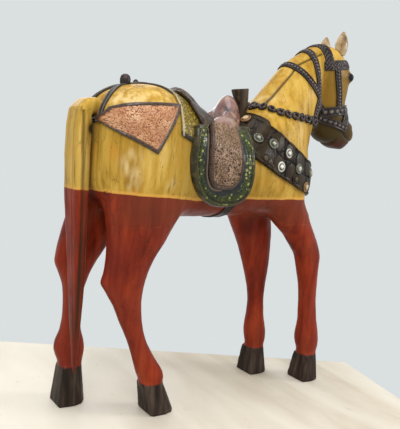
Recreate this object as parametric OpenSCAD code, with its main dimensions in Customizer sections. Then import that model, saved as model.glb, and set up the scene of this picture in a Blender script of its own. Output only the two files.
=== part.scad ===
// Carved and painted wooden horse, standing, with saddle, breast collar and bridle.
// +X is the way the horse faces, +Y is its left side, +Z is up.
// The origin is on the ground under the middle of the figure. Millimetres.

/* [Body] */
// Widest part of the trunk, across the haunches
trunk_w = 246; // [220:2:270]
// Distance between the middles of the fore hooves
fore_stance = 94; // [84:1:110]
// Distance between the middles of the hind hooves
hind_stance = 116; // [104:1:130]
// Facets around each carved section
facets = 20; // [16:4:24]

/* [Hooves] */
// Width of a hoof at the ground
hoof_w = 68; // [60:1:74]
// Height of the fore and right hind hooves
hoof_h = 66; // [60:1:70]
// Height of the left hind hoof, which is the longest
tall_hoof_h = 84; // [80:1:88]

/* [Saddle] */
// Thickness of the saddle cloth
cloth_t = 5; // [3:0.5:7]
// Thickness of the flaps, over the trunk
flap_t = 15; // [10:1:18]
// Thickness of the raised panel on each flap
panel_t = 8; // [5:1:12]
// Width of a flap along the horse
flap_w = 168; // [150:2:176]
// Width of the raised panel on each flap
panel_w = 94; // [80:2:100]

// Thickness of the saddle seat where it lies on the cloth
seat_t = 7; // [5:1:9]

/* [Straps] */
// Thickness of the bridle and crupper straps
strap_t = 5; // [3:0.5:7]
// Thickness of the breast collar
collar_t = 9; // [6:1:12]
// Width of the girth
girth_w = 22; // [14:1:28]
// Width of the crupper straps
crupper_w = 15; // [11:1:20]
// Outer diameter of a rein chain link
link_d = 19; // [16:1:21]

/* [Pegs] */
// Diameter of the dowels between the body blocks
dowel_d = 24; // [18:1:30]
// Length of the dowels between the body blocks
dowel_l = 110; // [80:5:130]
// Diameter of the dowel in each leg
leg_dowel_d = 26; // [20:1:30]
// Length of the dowel in each leg
leg_dowel_l = 90; // [70:1:95]
// Diameter of the small pegs in ears, tail and saddle
peg_d = 10; // [8:1:12]

/* [Hidden] */
$fn = 48;
big = 1000;

// Planes where the blocks are glued: trunk joints at these x, legs below this z.
haunch_joint_x = -225;
chest_joint_x = 25;
leg_joint_z = 404;

// A section is [upper point, lower point, half width, squareness], its points being [x, z].
// Along the trunk the upper point lies on the back and the lower point on the belly;
// up the neck they lie on the crest and the throat.
HW = trunk_w / 2;
trunk_rows = [
    [[-349, 602], [-352, 500], 0.40 * HW, 2.2],
    [[-344, 632], [-349, 462], 0.68 * HW, 2.4],
    [[-325, 659], [-325, 436], 0.87 * HW, 2.7],
    [[-286, 681], [-286, 420], 0.97 * HW, 2.9],
    [[-240, 687], [-240, 414], 1.00 * HW, 3.0],
    [[-190, 677], [-190, 412], 0.99 * HW, 2.7],
    [[-140, 652], [-140, 412], 0.97 * HW, 2.3],
    [[-95, 633], [-92, 412], 0.95 * HW, 2.15],
    [[-50, 618], [-42, 413], 0.94 * HW, 2.15],
    [[-5, 624], [15, 415], 0.93 * HW, 2.3],
    [[20, 643], [75, 418], 0.90 * HW, 2.5],
    [[36, 659], [140, 424], 0.85 * HW, 2.8],
    [[48, 670], [195, 440], 0.80 * HW, 2.8],
    [[60, 682], [228, 480], 0.72 * HW, 2.5],
    [[77, 701], [236, 530], 0.64 * HW, 2.2],
    [[98, 729], [236, 580], 0.55 * HW, 2.1],
    [[128, 766], [238, 620], 0.48 * HW, 2.0],
    [[162, 799], [246, 650], 0.43 * HW, 2.0],
    [[202, 823], [262, 690], 0.39 * HW, 2.1],
    [[240, 836], [290, 740], 0.36 * HW, 2.2]];

// The head, from poll to chin: points on the face and on the back of the jaw.
head_rows = [
    [[280, 841], [232, 837], 22, 2.1],
    [[316, 828], [212, 830], 38, 2.2],
    [[338, 800], [203, 812], 45, 2.3],
    [[352, 770], [203, 785], 47, 2.3],
    [[350, 735], [212, 745], 46, 2.1],
    [[345, 705], [224, 708], 43, 2.1],
    [[352, 676], [234, 670], 43, 2.2],
    [[375, 656], [241, 648], 42, 2.2],
    [[388, 636], [249, 630], 39, 2.2],
    [[384, 614], [266, 614], 35, 2.2],
    [[366, 600], [296, 602], 30, 2.1],
    [[356, 590], [322, 592], 20, 2.0]];
// Middle and diameter of the bulging eyes.
eye = [333, 33, 771];
eye_d = 26;
// The head and neck blocks meet on the line between these two [x, z] points.
poll_joint = [206, 860];
throat_joint = [247, 620];
// The neck and chest blocks meet on this line, under the breast collar.
withers_joint = [-10, 640];
breast_joint = [300, 480];

// Legs: [z, front x, back x, half width, distance of the middle from the centre plane]
// from inside the trunk down to the top of the hoof, and the hoof's middle.
hind_y = hind_stance / 2;
fore_y = fore_stance / 2;
hindleg_right_rows = [
    [502, -165, -325, 36, 62], [450, -150, -340, 52, 62], [422, -170, -333, 50, 62],
    [395, -186, -327, 46, 62], [370, -200, -324, 41, 61], [340, -218, -323, 35, 60],
    [308, -232, -326, 30, 60], [285, -236, -334, 26, 59], [265, -240, -320, 24, hind_y],
    [240, -242, -304, 22, hind_y], [210, -238, -290, 20, hind_y], [181, -233, -275, 19, hind_y],
    [153, -222, -262, 19, hind_y], [130, -208, -253, 20, hind_y], [108, -193, -246, 23, hind_y],
    [90, -181, -240, 25, hind_y], [75, -177, -232, 24, hind_y]];
hindleg_left_rows = [
    [502, -205, -335, 36, 62], [450, -205, -352, 52, 62], [422, -222, -358, 50, 62],
    [395, -238, -364, 46, 62], [365, -258, -372, 41, 61], [335, -276, -380, 35, 60],
    [309, -292, -385, 30, 60], [285, -306, -374, 26, 59], [255, -318, -364, 22, hind_y],
    [228, -324, -362, 20, hind_y], [195, -324, -361, 19, hind_y], [160, -320, -365, 20, hind_y],
    [142, -314, -374, 22, hind_y], [124, -310, -378, 25, hind_y], [108, -311, -374, 25, hind_y],
    [94, -314, -367, 24, hind_y]];
foreleg_right_rows = [
    [502, 170, 84, 30, 52], [458, 192, 64, 44, 51], [421, 208, 90, 42, 50],
    [396, 222, 122, 38, 49], [372, 238, 153, 33, 48], [345, 256, 176, 29, fore_y],
    [322, 266, 194, 26, fore_y], [298, 266, 201, 24, fore_y], [270, 266, 209, 22, fore_y],
    [240, 266, 217, 20, fore_y], [200, 270, 222, 19, fore_y], [160, 276, 226, 20, fore_y],
    [135, 282, 224, 23, fore_y], [112, 287, 221, 25, fore_y], [95, 289, 226, 25, fore_y],
    [80, 287, 232, 23, fore_y]];
foreleg_left_rows = [
    [502, 140, 54, 30, 52], [450, 160, 36, 44, 51], [421, 170, 44, 42, 50],
    [396, 176, 56, 39, 49], [360, 181, 76, 34, 48], [321, 182, 94, 29, fore_y],
    [290, 182, 106, 26, fore_y], [258, 180, 117, 23, fore_y], [225, 177, 127, 20, fore_y],
    [190, 176, 134, 19, fore_y], [155, 179, 134, 20, fore_y], [132, 184, 131, 23, fore_y],
    [110, 190, 130, 25, fore_y], [92, 191, 134, 25, fore_y], [78, 188, 138, 23, fore_y]];
hindleg_right_hoof_x = -184;
hindleg_left_hoof_x = -340;
foreleg_right_hoof_x = 258;
foreleg_left_hoof_x = 165;

// The tail, from its root in the rump, over the arch and down to the tip.
tail_rows = [
    [[-322, 650], [-336, 618], 20, 2.6],
    [[-345, 659], [-350, 624], 26, 3.0],
    [[-368, 655], [-357, 618], 31, 4.0],
    [[-385, 636], [-356, 608], 35, 5.0],
    [[-388, 600], [-356, 590], 37, 5.0],
    [[-388, 540], [-357, 540], 38, 5.0],
    [[-385, 465], [-355, 465], 37, 5.0],
    [[-378, 364], [-352, 364], 32, 4.5],
    [[-372, 284], [-349, 284], 27, 4.0],
    [[-367, 200], [-349, 200], 20, 3.0],
    [[-362, 130], [-350, 130], 13, 2.5],
    [[-356, 84], [-352, 84], 4, 2.0]];

// One ear, on the centre plane: it is moved out sideways.
ear_rows = [
    [[309, 822], [287, 820], 10, 2.0],
    [[316, 836], [281, 834], 13, 2.0],
    [[318, 850], [280, 849], 14, 2.0],
    [[314, 864], [286, 863], 11, 2.0],
    [[308, 874], [294, 873], 6, 2.0],
    [[304, 880], [301, 880], 2, 2.0]];
// The left ear sits a little lower than the right one.
ear_left_drop = 7;
ear_y = 29;

// Saddle: the seat from the cantle forward, its lower edge, and the arch of the pommel.
seat_rows = [
    [[-184, 668], [-184, 520], 38, 2.0],
    [[-175, 684], [-175, 515], 62, 2.0],
    [[-160, 691], [-160, 510], 78, 2.0],
    [[-142, 684], [-142, 500], 81, 2.0],
    [[-118, 663], [-118, 495], 80, 2.0],
    [[-92, 644], [-92, 495], 77, 2.0],
    [[-58, 630], [-58, 495], 74, 2.0]];
// The pommel arches over the back and sweeps down and backward at each side:
// [side y, middle x, half length along the horse, top z, squareness].
pommel_rows = [
    [-99, -92, 38, 606, 2.2], [-90, -88, 46, 622, 2.4], [-74, -76, 48, 633, 2.3],
    [-60, -62, 45, 639, 2.1], [-46, -42, 37, 645, 2.1], [-33, -28, 29, 657, 2.0],
    [-22, -20, 28, 672, 2.0], [-10, -18, 31, 687, 2.0],
    [0, -18, 32, 691, 2.0],
    [10, -18, 31, 687, 2.0], [22, -20, 28, 672, 2.0], [33, -28, 29, 657, 2.0],
    [46, -42, 37, 645, 2.1], [60, -62, 45, 639, 2.1], [74, -76, 48, 633, 2.3],
    [90, -88, 46, 622, 2.4], [99, -92, 38, 606, 2.2]];
pommel_foot_z = 560;
saddle_edge_z = 606;
horn_rows = [
    [[38, 640], [9, 640], 13, 2.4],
    [[36, 672], [8, 672], 13, 2.6],
    [[34, 709], [-6, 703], 15, 3.0]];

// Outlines on the horse's side, as [x, z].
flap_mid_x = -108;
flap_bottom_z = 448;
flap_lean = 20;
panel_mid_x = -106;
panel_bottom_z = 488;
cloth_outline = [[-207, 900], [-210, 585], [-176, 571], [4, 571], [4, 900]];
rump_outline = [[-372, 604], [-352, 628], [-300, 646], [-250, 653], [-200, 649], [-252, 548]];
collar_outline = [[-14, 655], [22, 632], [65, 603], [116, 576], [190, 545], [290, 532],
    [290, 462], [173, 468], [76, 506], [24, 533], [-22, 560]];
neck_strap_outline = [[118, 792], [134, 806], [226, 716], [216, 700]];
throat_strap_outline = [[186, 850], [206, 860], [228, 716], [212, 706]];
crown_strap_outline = [[202, 872], [224, 880], [264, 800], [240, 784]];
brow_outline = [[240, 776], [240, 800], [400, 824], [400, 800]];
cheek_outline = [[264, 792], [281, 795], [308, 690], [288, 682]];
nose_outline = [[200, 656], [200, 678], [400, 714], [400, 690]];
bit_outline = [[236, 672], [238, 654], [330, 634], [330, 652]];

// Rein chain: the line its links follow, as [x, z] points.
rein_path = [[46, 671], [76, 659], [112, 655], [148, 653], [184, 651], [221, 646]];
rein_links = 11;

// Breast collar bosses, as [x, z] on each side.
boss_places = [[4, 592], [38, 584], [82, 567], [120, 535], [176, 526],
    [10, 552], [58, 537], [110, 512], [156, 494]];

// ---- Shapes ----

function spow(v, n) = sign(v) * pow(abs(v), 2 / n);

// One closed section of a carved form, grown outward by grow and moved sideways by y.
function section(row, grow, y) =
    let (mid = (row[0] + row[1]) / 2, half = (row[0] - row[1]) / 2,
        k = (norm(half) + grow) / norm(half))
    [for (i = [0:facets - 1])
        let (a = 360 * i / facets, u = k * spow(cos(a), row[3]))
        [mid[0] + half[0] * u, y + (row[2] + grow) * spow(sin(a), row[3]), mid[1] + half[1] * u]];

// A solid through a list of closed sections with the same even number of points.
function turns_forward(s, ahead) =
    let (n = len(s), mid = (s[0] + s[n / 2]) / 2)
    cross(s[0] - mid, s[floor(n / 4)] - mid) * (ahead - mid) > 0;
function backward(s) = [for (i = [len(s) - 1:-1:0]) s[i]];

module skin(sections) {
    n = len(sections[0]);
    last = len(sections) - 1;
    mid_ahead = (sections[1][0] + sections[1][n / 2]) / 2;
    rings = turns_forward(sections[0], mid_ahead) ? [for (s = sections) backward(s)] : sections;
    polyhedron(
        points = [for (s = rings) each s],
        faces = concat(
            [backward([for (i = [0:n - 1]) i])],
            [for (r = [0:last - 1], i = [0:n - 1])
                let (a = r * n + i, b = r * n + (i + 1) % n)
                each [[a, b, a + n], [b, b + n, a + n]]],
            [[for (i = [0:n - 1]) last * n + i]]),
        convexity = 6);
}

module carve(rows, grow = 0, y = 0) {
    skin([for (row = rows) section(row, grow, y)]);
}

// The trunk and neck in one form, and the same form grown by the thickness of a strap.
module horse(grow = 0) { carve(trunk_rows, grow); }

// A prism across the whole width of the horse, or across one side of it.
module across(outline) {
    rotate([90, 0, 0]) linear_extrude(height = big, center = true) polygon(outline);
}

module across_side(outline, side) {
    rotate([90, 0, 0]) translate([0, 0, side > 0 ? -big : 0]) linear_extrude(height = big)
        polygon(outline);
}

// Leg rows turned into sections of the common kind, each moved out to its own place.
module leg_form(rows, side) {
    skin([for (r = rows) section([[r[1], r[0]], [r[2], r[0]], r[3], 2.3], 0, side * r[4])]);
}

// Hoof: a flared block with a flat sole and crisp heel corners.
hoof_outline = [[0.50, -0.16], [0.50, 0.16], [0.32, 0.40], [0.02, 0.50], [-0.44, 0.46],
    [-0.44, -0.46], [0.02, -0.50], [0.32, -0.40]];
module hoof(x, y, top_x, h) {
    skin([for (s = [[h, 0.74, top_x], [0, 1, x]])
        [for (p = hoof_outline) [s[2] + p[0] * hoof_w * s[1], y + p[1] * hoof_w * s[1], s[0]]]]);
}

module leg(rows, side, hoof_x, h = hoof_h) {
    bottom = rows[len(rows) - 1];
    top_x = (bottom[1] + bottom[2]) / 2;
    difference() {
        union() {
            intersection() {
                leg_form(concat(rows, [[h - 4, bottom[1] - 2, bottom[2] + 2, bottom[3] - 2,
                    bottom[4]]]), side);
                translate([-big, -big, 0]) cube([2 * big, 2 * big, leg_joint_z]);
            }
            hoof(hoof_x, side * bottom[4], top_x, h);
        }
        leg_dowel(rows, side);
    }
}

// The dowel that runs up from a leg into its block.
function leg_mid(rows) = let (near = [for (r = rows) if (r[0] < leg_joint_z) r][0])
    [(near[1] + near[2]) / 2, near[4]];
module leg_dowel(rows, side) {
    at = leg_mid(rows);
    translate([at[0], side * at[1], leg_joint_z - leg_dowel_l / 3])
        cylinder(d = leg_dowel_d, h = leg_dowel_l);
}

// How far out the horse's side lies at [x, z], found between the two sections on either side.
function turn(row, p) = let (d = row[1] - row[0], e = p - row[0]) d[0] * e[1] - d[1] * e[0];
function between(a, b, t) = a + (b - a) * t;
function side_y(x, z) =
    let (p = [x, z], s = [for (row = trunk_rows) turn(row, p)],
        hits = [for (i = [0:len(s) - 2]) if (s[i] * s[i + 1] <= 0) i], i = hits[0],
        t = s[i] / (s[i] - s[i + 1]), a = trunk_rows[i], b = trunk_rows[i + 1],
        top = between(a[0], b[0], t), low = between(a[1], b[1], t),
        mid = (top + low) / 2, half = (top - low) / 2,
        q = min(0.98, abs((p - mid) * half) / (half * half)), n = between(a[3], b[3], t))
    between(a[2], b[2], t) * pow(1 - pow(q, n), 1 / n);

// Puts its children on the horse's side with their Z axis pointing out of the surface.
module on_side(x, z, side, lift = 0) {
    step = 3;
    y = side_y(x, z);
    slope_x = (side_y(x + step, z) - side_y(x - step, z)) / (2 * step);
    slope_z = (side_y(x, z + step) - side_y(x, z - step)) / (2 * step);
    out = [-slope_x, 1, -slope_z] / norm([slope_x, 1, slope_z]);
    translate([x + out[0] * lift, side * (y + out[1] * lift), z + out[2] * lift])
        rotate([0, acos(out[2]), atan2(side * out[1], out[0])]) children();
}

// ---- Carved blocks ----

module before_line(a, b) {
    d = (b - a) / norm(b - a) * big;
    n = [d[1], -d[0]];
    across([a - d, a + d, a + d + n, a - d + n]);
}

module legs_above_joint(left_rows, right_rows) {
    intersection() {
        union() {
            leg_form(left_rows, 1);
            leg_form(right_rows, -1);
        }
        translate([-big, -big, leg_joint_z]) cube([2 * big, 2 * big, big]);
    }
}

module haunch_block() {
    color("goldenrod") difference() {
        union() {
            intersection() {
                horse();
                translate([haunch_joint_x - big, -big, 0]) cube([big, 2 * big, big]);
            }
            difference() {
                legs_above_joint(hindleg_left_rows, hindleg_right_rows);
                intersection() {
                    horse();
                    translate([haunch_joint_x, -big, 0]) cube([big, 2 * big, big]);
                }
            }
        }
        rear_dowels();
        leg_dowel(hindleg_left_rows, 1);
        leg_dowel(hindleg_right_rows, -1);
        tail_peg();
        carve(tail_rows);
        knob_stem();
    }
}

module barrel_block() {
    color("goldenrod") difference() {
        intersection() {
            horse();
            translate([haunch_joint_x, -big, 0])
                cube([chest_joint_x - haunch_joint_x, 2 * big, big]);
        }
        before_line(breast_joint, withers_joint);
        rear_dowels();
        front_dowels();
        saddle_pegs();
    }
}

module chest_block() {
    color("goldenrod") difference() {
        union() {
            intersection() {
                horse();
                translate([chest_joint_x, -big, 0]) cube([big, 2 * big, big]);
            }
            legs_above_joint(foreleg_left_rows, foreleg_right_rows);
        }
        before_line(breast_joint, withers_joint);
        front_dowels();
        neck_dowel();
        leg_dowel(foreleg_left_rows, 1);
        leg_dowel(foreleg_right_rows, -1);
    }
}

module neck_block() {
    color("gold") difference() {
        intersection() {
            horse();
            before_line(breast_joint, withers_joint);
        }
        before_line(throat_joint, poll_joint);
        neck_dowel();
        head_dowel();
    }
}

module head_block() {
    color("khaki") difference() {
        union() {
            intersection() {
                carve(head_rows);
                before_line(throat_joint, poll_joint);
            }
            for (side = [-1, 1]) translate([eye[0], side * eye[1], eye[2]]) sphere(d = eye_d);
        }
        head_dowel();
        ear_pegs();
    }
}

module foreleg_left() { color("firebrick") leg(foreleg_left_rows, 1, foreleg_left_hoof_x); }
module foreleg_right() { color("firebrick") leg(foreleg_right_rows, -1, foreleg_right_hoof_x); }
module hindleg_left() {
    color("firebrick") leg(hindleg_left_rows, 1, hindleg_left_hoof_x, tall_hoof_h);
}
module hindleg_right() { color("firebrick") leg(hindleg_right_rows, -1, hindleg_right_hoof_x); }

module tail() {
    color("chocolate") difference() {
        carve(tail_rows);
        tail_peg();
    }
}

module ear_form(side) {
    translate([0, 0, side > 0 ? -ear_left_drop : 0]) carve(ear_rows, 0, side * ear_y);
}

module ear(side) {
    color("tan") difference() {
        ear_form(side);
        carve(head_rows);
        ear_peg(side);
    }
}
module ear_left() { ear(1); }
module ear_right() { ear(-1); }

// ---- Saddle ----

seat_outline = [[-186, 720], [-176, 643], [-159, 606], [-112, 606], [-92, 720]];

module above_saddle_edge() {
    translate([-big, -big, saddle_edge_z]) cube(2 * big);
}

module saddle_seat() {
    color("saddlebrown") difference() {
        intersection() {
            union() {
                carve(seat_rows);
                intersection() {
                    horse(cloth_t + seat_t);
                    across(seat_outline);
                }
            }
            above_saddle_edge();
        }
        horse(cloth_t);
        pommel_form();
        saddle_pegs();
    }
}

module pommel_form() {
    skin([for (r = pommel_rows)
        [for (i = [0:facets - 1])
            let (a = 360 * i / facets, mid_z = (r[3] + pommel_foot_z) / 2)
            [r[1] + r[2] * spow(cos(a), r[4]), r[0], mid_z + (r[3] - mid_z) * spow(sin(a), r[4])]]]);
}

module saddle_pommel() {
    color("rosybrown") difference() {
        intersection() {
            pommel_form();
            above_saddle_edge();
        }
        horse(cloth_t);
        carve(horn_rows);
    }
}

module saddle_horn() {
    color("saddlebrown") difference() {
        carve(horn_rows);
        horse(cloth_t);
    }
}

// A layer on the horse's side, inside an outline, from one height over the trunk to another.
module layer(outline, side, low, high) {
    difference() {
        intersection() {
            horse(high);
            across_side(outline, side);
        }
        horse(low);
    }
}

module saddle_cloth() {
    color("khaki") difference() {
        intersection() {
            horse(cloth_t);
            across(cloth_outline);
        }
        horse();
        saddle_pegs();
    }
}

// A shape with a straight top and a rounded lower end that leans forward.
function rounded_drop(mid_x, width, top_z, bottom_z, n, lean = 0) =
    let (r = width / 2, depth = 0.62 * (top_z - bottom_z), shoulder = bottom_z + depth)
    concat([[mid_x + 1.12 * r, top_z], [mid_x - 0.92 * r, top_z]],
        [for (a = [180:15:360]) let (fall = spow(sin(a), n))
            [mid_x + r * spow(cos(a), n) + lean * fall * fall, shoulder + depth * fall]]);

module saddle_flap(side) {
    color("darkolivegreen") difference() {
        layer(rounded_drop(flap_mid_x, flap_w, saddle_edge_z, flap_bottom_z, 2.5, flap_lean),
            side, 0, flap_t);
        intersection() {
            horse(cloth_t);
            across(cloth_outline);
        }
    }
}
module saddle_flap_left() { saddle_flap(1); }
module saddle_flap_right() { saddle_flap(-1); }

module flap_panel(side) {
    color("rosybrown")
        layer(rounded_drop(panel_mid_x, panel_w, saddle_edge_z, panel_bottom_z, 3.4), side,
            flap_t, flap_t + panel_t);
}
module flap_panel_left() { flap_panel(1); }
module flap_panel_right() { flap_panel(-1); }

module girth() {
    girth_mid_x = -52;
    girth_top_z = 445;
    color("darkolivegreen") difference() {
        intersection() {
            horse(strap_t);
            translate([girth_mid_x - girth_w / 2, -big, 0]) cube([girth_w, 2 * big, girth_top_z]);
        }
        horse();
    }
}

// ---- Crupper ----

knob_x = -278;
knob_z = 683;
module knob_stem() { translate([knob_x, 0, knob_z - 30]) cylinder(d = peg_d, h = 40); }

module crupper_knob() {
    color("dimgray") {
        knob_stem();
        translate([knob_x, 0, knob_z + strap_t - 1]) rotate_extrude() polygon([[0, 0], [12, 0],
            [12, 3], [7, 6], [10, 10], [10, 16], [6, 20], [0, 21]]);
    }
}

module crupper_stud() {
    color("dimgray") translate([knob_x + 24, 0, knob_z + 6]) rotate_extrude()
        polygon([[0, 0], [6, 0], [6, 3], [3, 6], [0, 7]]);
}

// Two straps from the knob, one to each side of the tail.
module crupper_strap() {
    tail_end = [-352, 46];
    color("dimgray") difference() {
        intersection() {
            horse(strap_t);
            union() for (side = [-1, 1]) {
                a = atan2(side * tail_end[1], tail_end[0] - knob_x);
                translate([knob_x, 0, 590]) rotate(a) translate([0, -crupper_w / 2, 0])
                    cube([100, crupper_w, 200]);
            }
        }
        horse();
        knob_stem();
        carve(tail_rows);
    }
}

module spine_strap() {
    front_x = cloth_outline[0][0];
    color("dimgray") difference() {
        intersection() {
            horse(strap_t);
            translate([knob_x + 8, -crupper_w / 2, 600]) cube([front_x - knob_x - 8, crupper_w, 200]);
        }
        horse();
    }
}

module rump_panel(side) {
    color("peru") layer(rump_outline, side, 0, strap_t);
}
module rump_panel_left() { rump_panel(1); }
module rump_panel_right() { rump_panel(-1); }

// ---- Breast collar, reins and bridle ----

module breast_collar() {
    color("dimgray") difference() {
        intersection() {
            horse(collar_t);
            across(collar_outline);
        }
        horse();
        pommel_form();
        carve(horn_rows);
        saddle_flap(1);
        saddle_flap(-1);
    }
}

module collar_bosses() {
    color("darkseagreen") for (side = [-1, 1], p = boss_places)
        on_side(p[0], p[1], side, collar_t + 1)
            cylinder(d1 = 26, d2 = 15, h = 9, $fn = 8);
}

// A point at a distance along a path of [x, z] points.
function along(path, t) = let (n = len(path) - 1, i = min(n - 1, floor(t * n)), f = t * n - i)
    between(path[i], path[i + 1], f);

module rein_chain(side) {
    color("dimgray") for (i = [0:rein_links - 1]) {
        p = along(rein_path, i / (rein_links - 1));
        on_side(p[0], p[1], side, 0.6) difference() {
            cylinder(d = link_d, h = 6);
            translate([0, 0, -1]) cylinder(d = 0.45 * link_d, h = 8);
        }
    }
}
module rein_chain_left() { rein_chain(1); }
module rein_chain_right() { rein_chain(-1); }

// A strap that lies on the neck, and one that lies on the head.
module neck_layer(outline) {
    difference() {
        intersection() {
            horse(strap_t);
            across(outline);
        }
        horse();
        before_line(throat_joint, poll_joint);
    }
}

module head_layer(outline, grow = strap_t) {
    difference() {
        intersection() {
            carve(head_rows, grow);
            across(outline);
            before_line(throat_joint, poll_joint);
        }
        carve(head_rows);
    }
}

module neck_strap() { color("dimgray") neck_layer(neck_strap_outline); }

module throat_strap() {
    color("dimgray") difference() {
        neck_layer(throat_strap_outline);
        across(neck_strap_outline);
    }
}

module crown_strap() {
    color("dimgray") difference() {
        head_layer(crown_strap_outline);
        ears();
    }
}

module ears() { for (side = [-1, 1]) ear_form(side); }

module brow_band() {
    color("dimgray") difference() {
        head_layer(brow_outline);
        across(crown_strap_outline);
    }
}

module cheek_straps() {
    color("dimgray") difference() {
        head_layer(cheek_outline);
        across(brow_outline);
        across(nose_outline);
        across(crown_strap_outline);
    }
}

module nose_band() { color("dimgray") head_layer(nose_outline, strap_t + 2); }

module bit_straps() {
    color("dimgray") difference() {
        head_layer(bit_outline, strap_t + 3);
        across(nose_outline);
        translate([-big, -26, 0]) cube([2 * big, 52, big]);
    }
}

// ---- Dowels and pegs ----

module pair_of_dowels(x) {
    for (side = [-1, 1])
        translate([x - dowel_l / 2, side * 48, 560]) rotate([0, 90, 0])
            cylinder(d = dowel_d, h = dowel_l);
}
module rear_dowels() { color("burlywood") pair_of_dowels(haunch_joint_x); }
module front_dowels() { color("burlywood") pair_of_dowels(chest_joint_x - 20); }

module neck_dowel() {
    color("burlywood") translate([145, 0, 570]) rotate([0, 27, 0])
        translate([0, 0, -dowel_l / 2]) cylinder(d = dowel_d, h = dowel_l);
}

module head_dowel() {
    color("burlywood") translate([225, 0, 745]) rotate([0, 80, 0])
        translate([0, 0, -40]) cylinder(d = dowel_d, h = 80);
}

module leg_dowels() {
    color("burlywood") {
        leg_dowel(foreleg_left_rows, 1);
        leg_dowel(foreleg_right_rows, -1);
        leg_dowel(hindleg_left_rows, 1);
        leg_dowel(hindleg_right_rows, -1);
    }
}

module tail_peg() {
    color("burlywood") translate([-352, 0, 641]) rotate([0, 98, 0])
        cylinder(d = peg_d, h = 60);
}

module ear_peg(side) { translate([299, side * ear_y, 805]) cylinder(d = peg_d - 3, h = 48); }
module ear_pegs() {
    color("burlywood") {
        ear_peg(1);
        ear_peg(-1);
    }
}

module saddle_pegs() {
    color("burlywood") for (side = [-1, 1])
        translate([-130, side * 32, 590]) cylinder(d = peg_d, h = 64);
}

haunch_block();
barrel_block();
chest_block();
neck_block();
head_block();
foreleg_left();
foreleg_right();
hindleg_left();
hindleg_right();
tail();
ear_left();
ear_right();
saddle_seat();
saddle_pommel();
saddle_horn();
saddle_cloth();
saddle_flap_left();
saddle_flap_right();
flap_panel_left();
flap_panel_right();
girth();
crupper_knob();
crupper_stud();
crupper_strap();
spine_strap();
rump_panel_left();
rump_panel_right();
breast_collar();
collar_bosses();
rein_chain_left();
rein_chain_right();
neck_strap();
throat_strap();
crown_strap();
brow_band();
cheek_straps();
nose_band();
bit_straps();
rear_dowels();
front_dowels();
neck_dowel();
head_dowel();
leg_dowels();
tail_peg();
ear_pegs();
saddle_pegs();
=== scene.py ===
from math import cos, pi, radians, sin

import bmesh
import bpy
import numpy as np
from mathutils import Matrix, Vector, noise
from mathutils.bvhtree import BVHTree


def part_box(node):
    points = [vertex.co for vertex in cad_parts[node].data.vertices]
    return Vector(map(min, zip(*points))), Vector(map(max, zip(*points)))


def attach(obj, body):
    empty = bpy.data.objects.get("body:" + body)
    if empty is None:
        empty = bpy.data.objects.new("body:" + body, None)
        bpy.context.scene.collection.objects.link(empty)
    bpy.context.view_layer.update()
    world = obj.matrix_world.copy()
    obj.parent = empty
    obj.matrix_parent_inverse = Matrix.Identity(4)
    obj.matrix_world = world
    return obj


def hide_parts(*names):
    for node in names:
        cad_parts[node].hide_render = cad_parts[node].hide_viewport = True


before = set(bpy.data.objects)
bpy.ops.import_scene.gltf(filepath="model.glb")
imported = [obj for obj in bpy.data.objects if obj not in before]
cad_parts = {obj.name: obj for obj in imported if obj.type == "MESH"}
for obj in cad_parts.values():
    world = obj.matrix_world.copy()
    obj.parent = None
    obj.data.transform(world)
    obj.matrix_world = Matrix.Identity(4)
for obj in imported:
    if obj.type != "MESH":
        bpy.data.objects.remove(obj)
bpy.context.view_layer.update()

# Places and sizes named below are in metres where they stand alone, and in millimetres where
# they are multiplied by MM or described as mm.
MM = 0.001
# Height on the figure where the ochre paint ends and the red begins.
PAINT_LINE = 0.463
SIDES = (("left", 1), ("right", -1))


# ---------------------------------------------------------------- camera and studio

CAMERA_PLACE = (-0.834, -1.116, 0.560)
# Degrees: to the right of +Y, downward, and tilted.
YAW, PITCH, ROLL = 34.4, 6.1, 4.4
LENS = 50.35
# Name, place, target, size, watts and colour.
LIGHTS = [
    ("key", (-1.5, -2.0, 2.6), (0, 0, 0.45), (1.3, 1.3), 52, (1.0, 0.97, 0.92)),
    ("top", (-0.3, -0.2, 2.8), (0, 0, 0.4), (1.6, 1.6), 24, (1.0, 0.98, 0.95)),
    ("fill", (2.4, -1.8, 1.4), (0, 0, 0.4), (1.6, 1.6), 9, (0.92, 0.96, 1.0)),
    ("spark", (2.0, -1.3, 1.35), (0, 0, 0.65), (0.5, 0.5), 16, (1.0, 0.98, 0.95)),
    ("back", (0.4, 2.4, 1.8), (0, 0, 0.5), (1.8, 1.4), 13, (0.95, 0.97, 1.0))]
WALL = (0.80, 0.84, 0.85, 1)
WALL_STRENGTH = 0.88


def make_camera():
    """The view from behind the horse's right side."""
    yaw, pitch, roll = radians(YAW), radians(PITCH), radians(ROLL)
    forward = Vector((sin(yaw) * cos(pitch), cos(yaw) * cos(pitch), -sin(pitch)))
    level = Vector((cos(yaw), -sin(yaw), 0))
    upright = level.cross(forward)
    right = cos(roll) * level + sin(roll) * upright
    up = cos(roll) * upright - sin(roll) * level
    data = bpy.data.cameras.new("camera")
    data.lens = LENS
    data.clip_start = 0.05
    camera = bpy.data.objects.new("camera", data)
    turned = Matrix((right, up, -forward)).transposed().to_4x4()
    camera.matrix_world = Matrix.Translation(CAMERA_PLACE) @ turned
    bpy.context.scene.collection.objects.link(camera)
    bpy.context.scene.camera = camera


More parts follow.
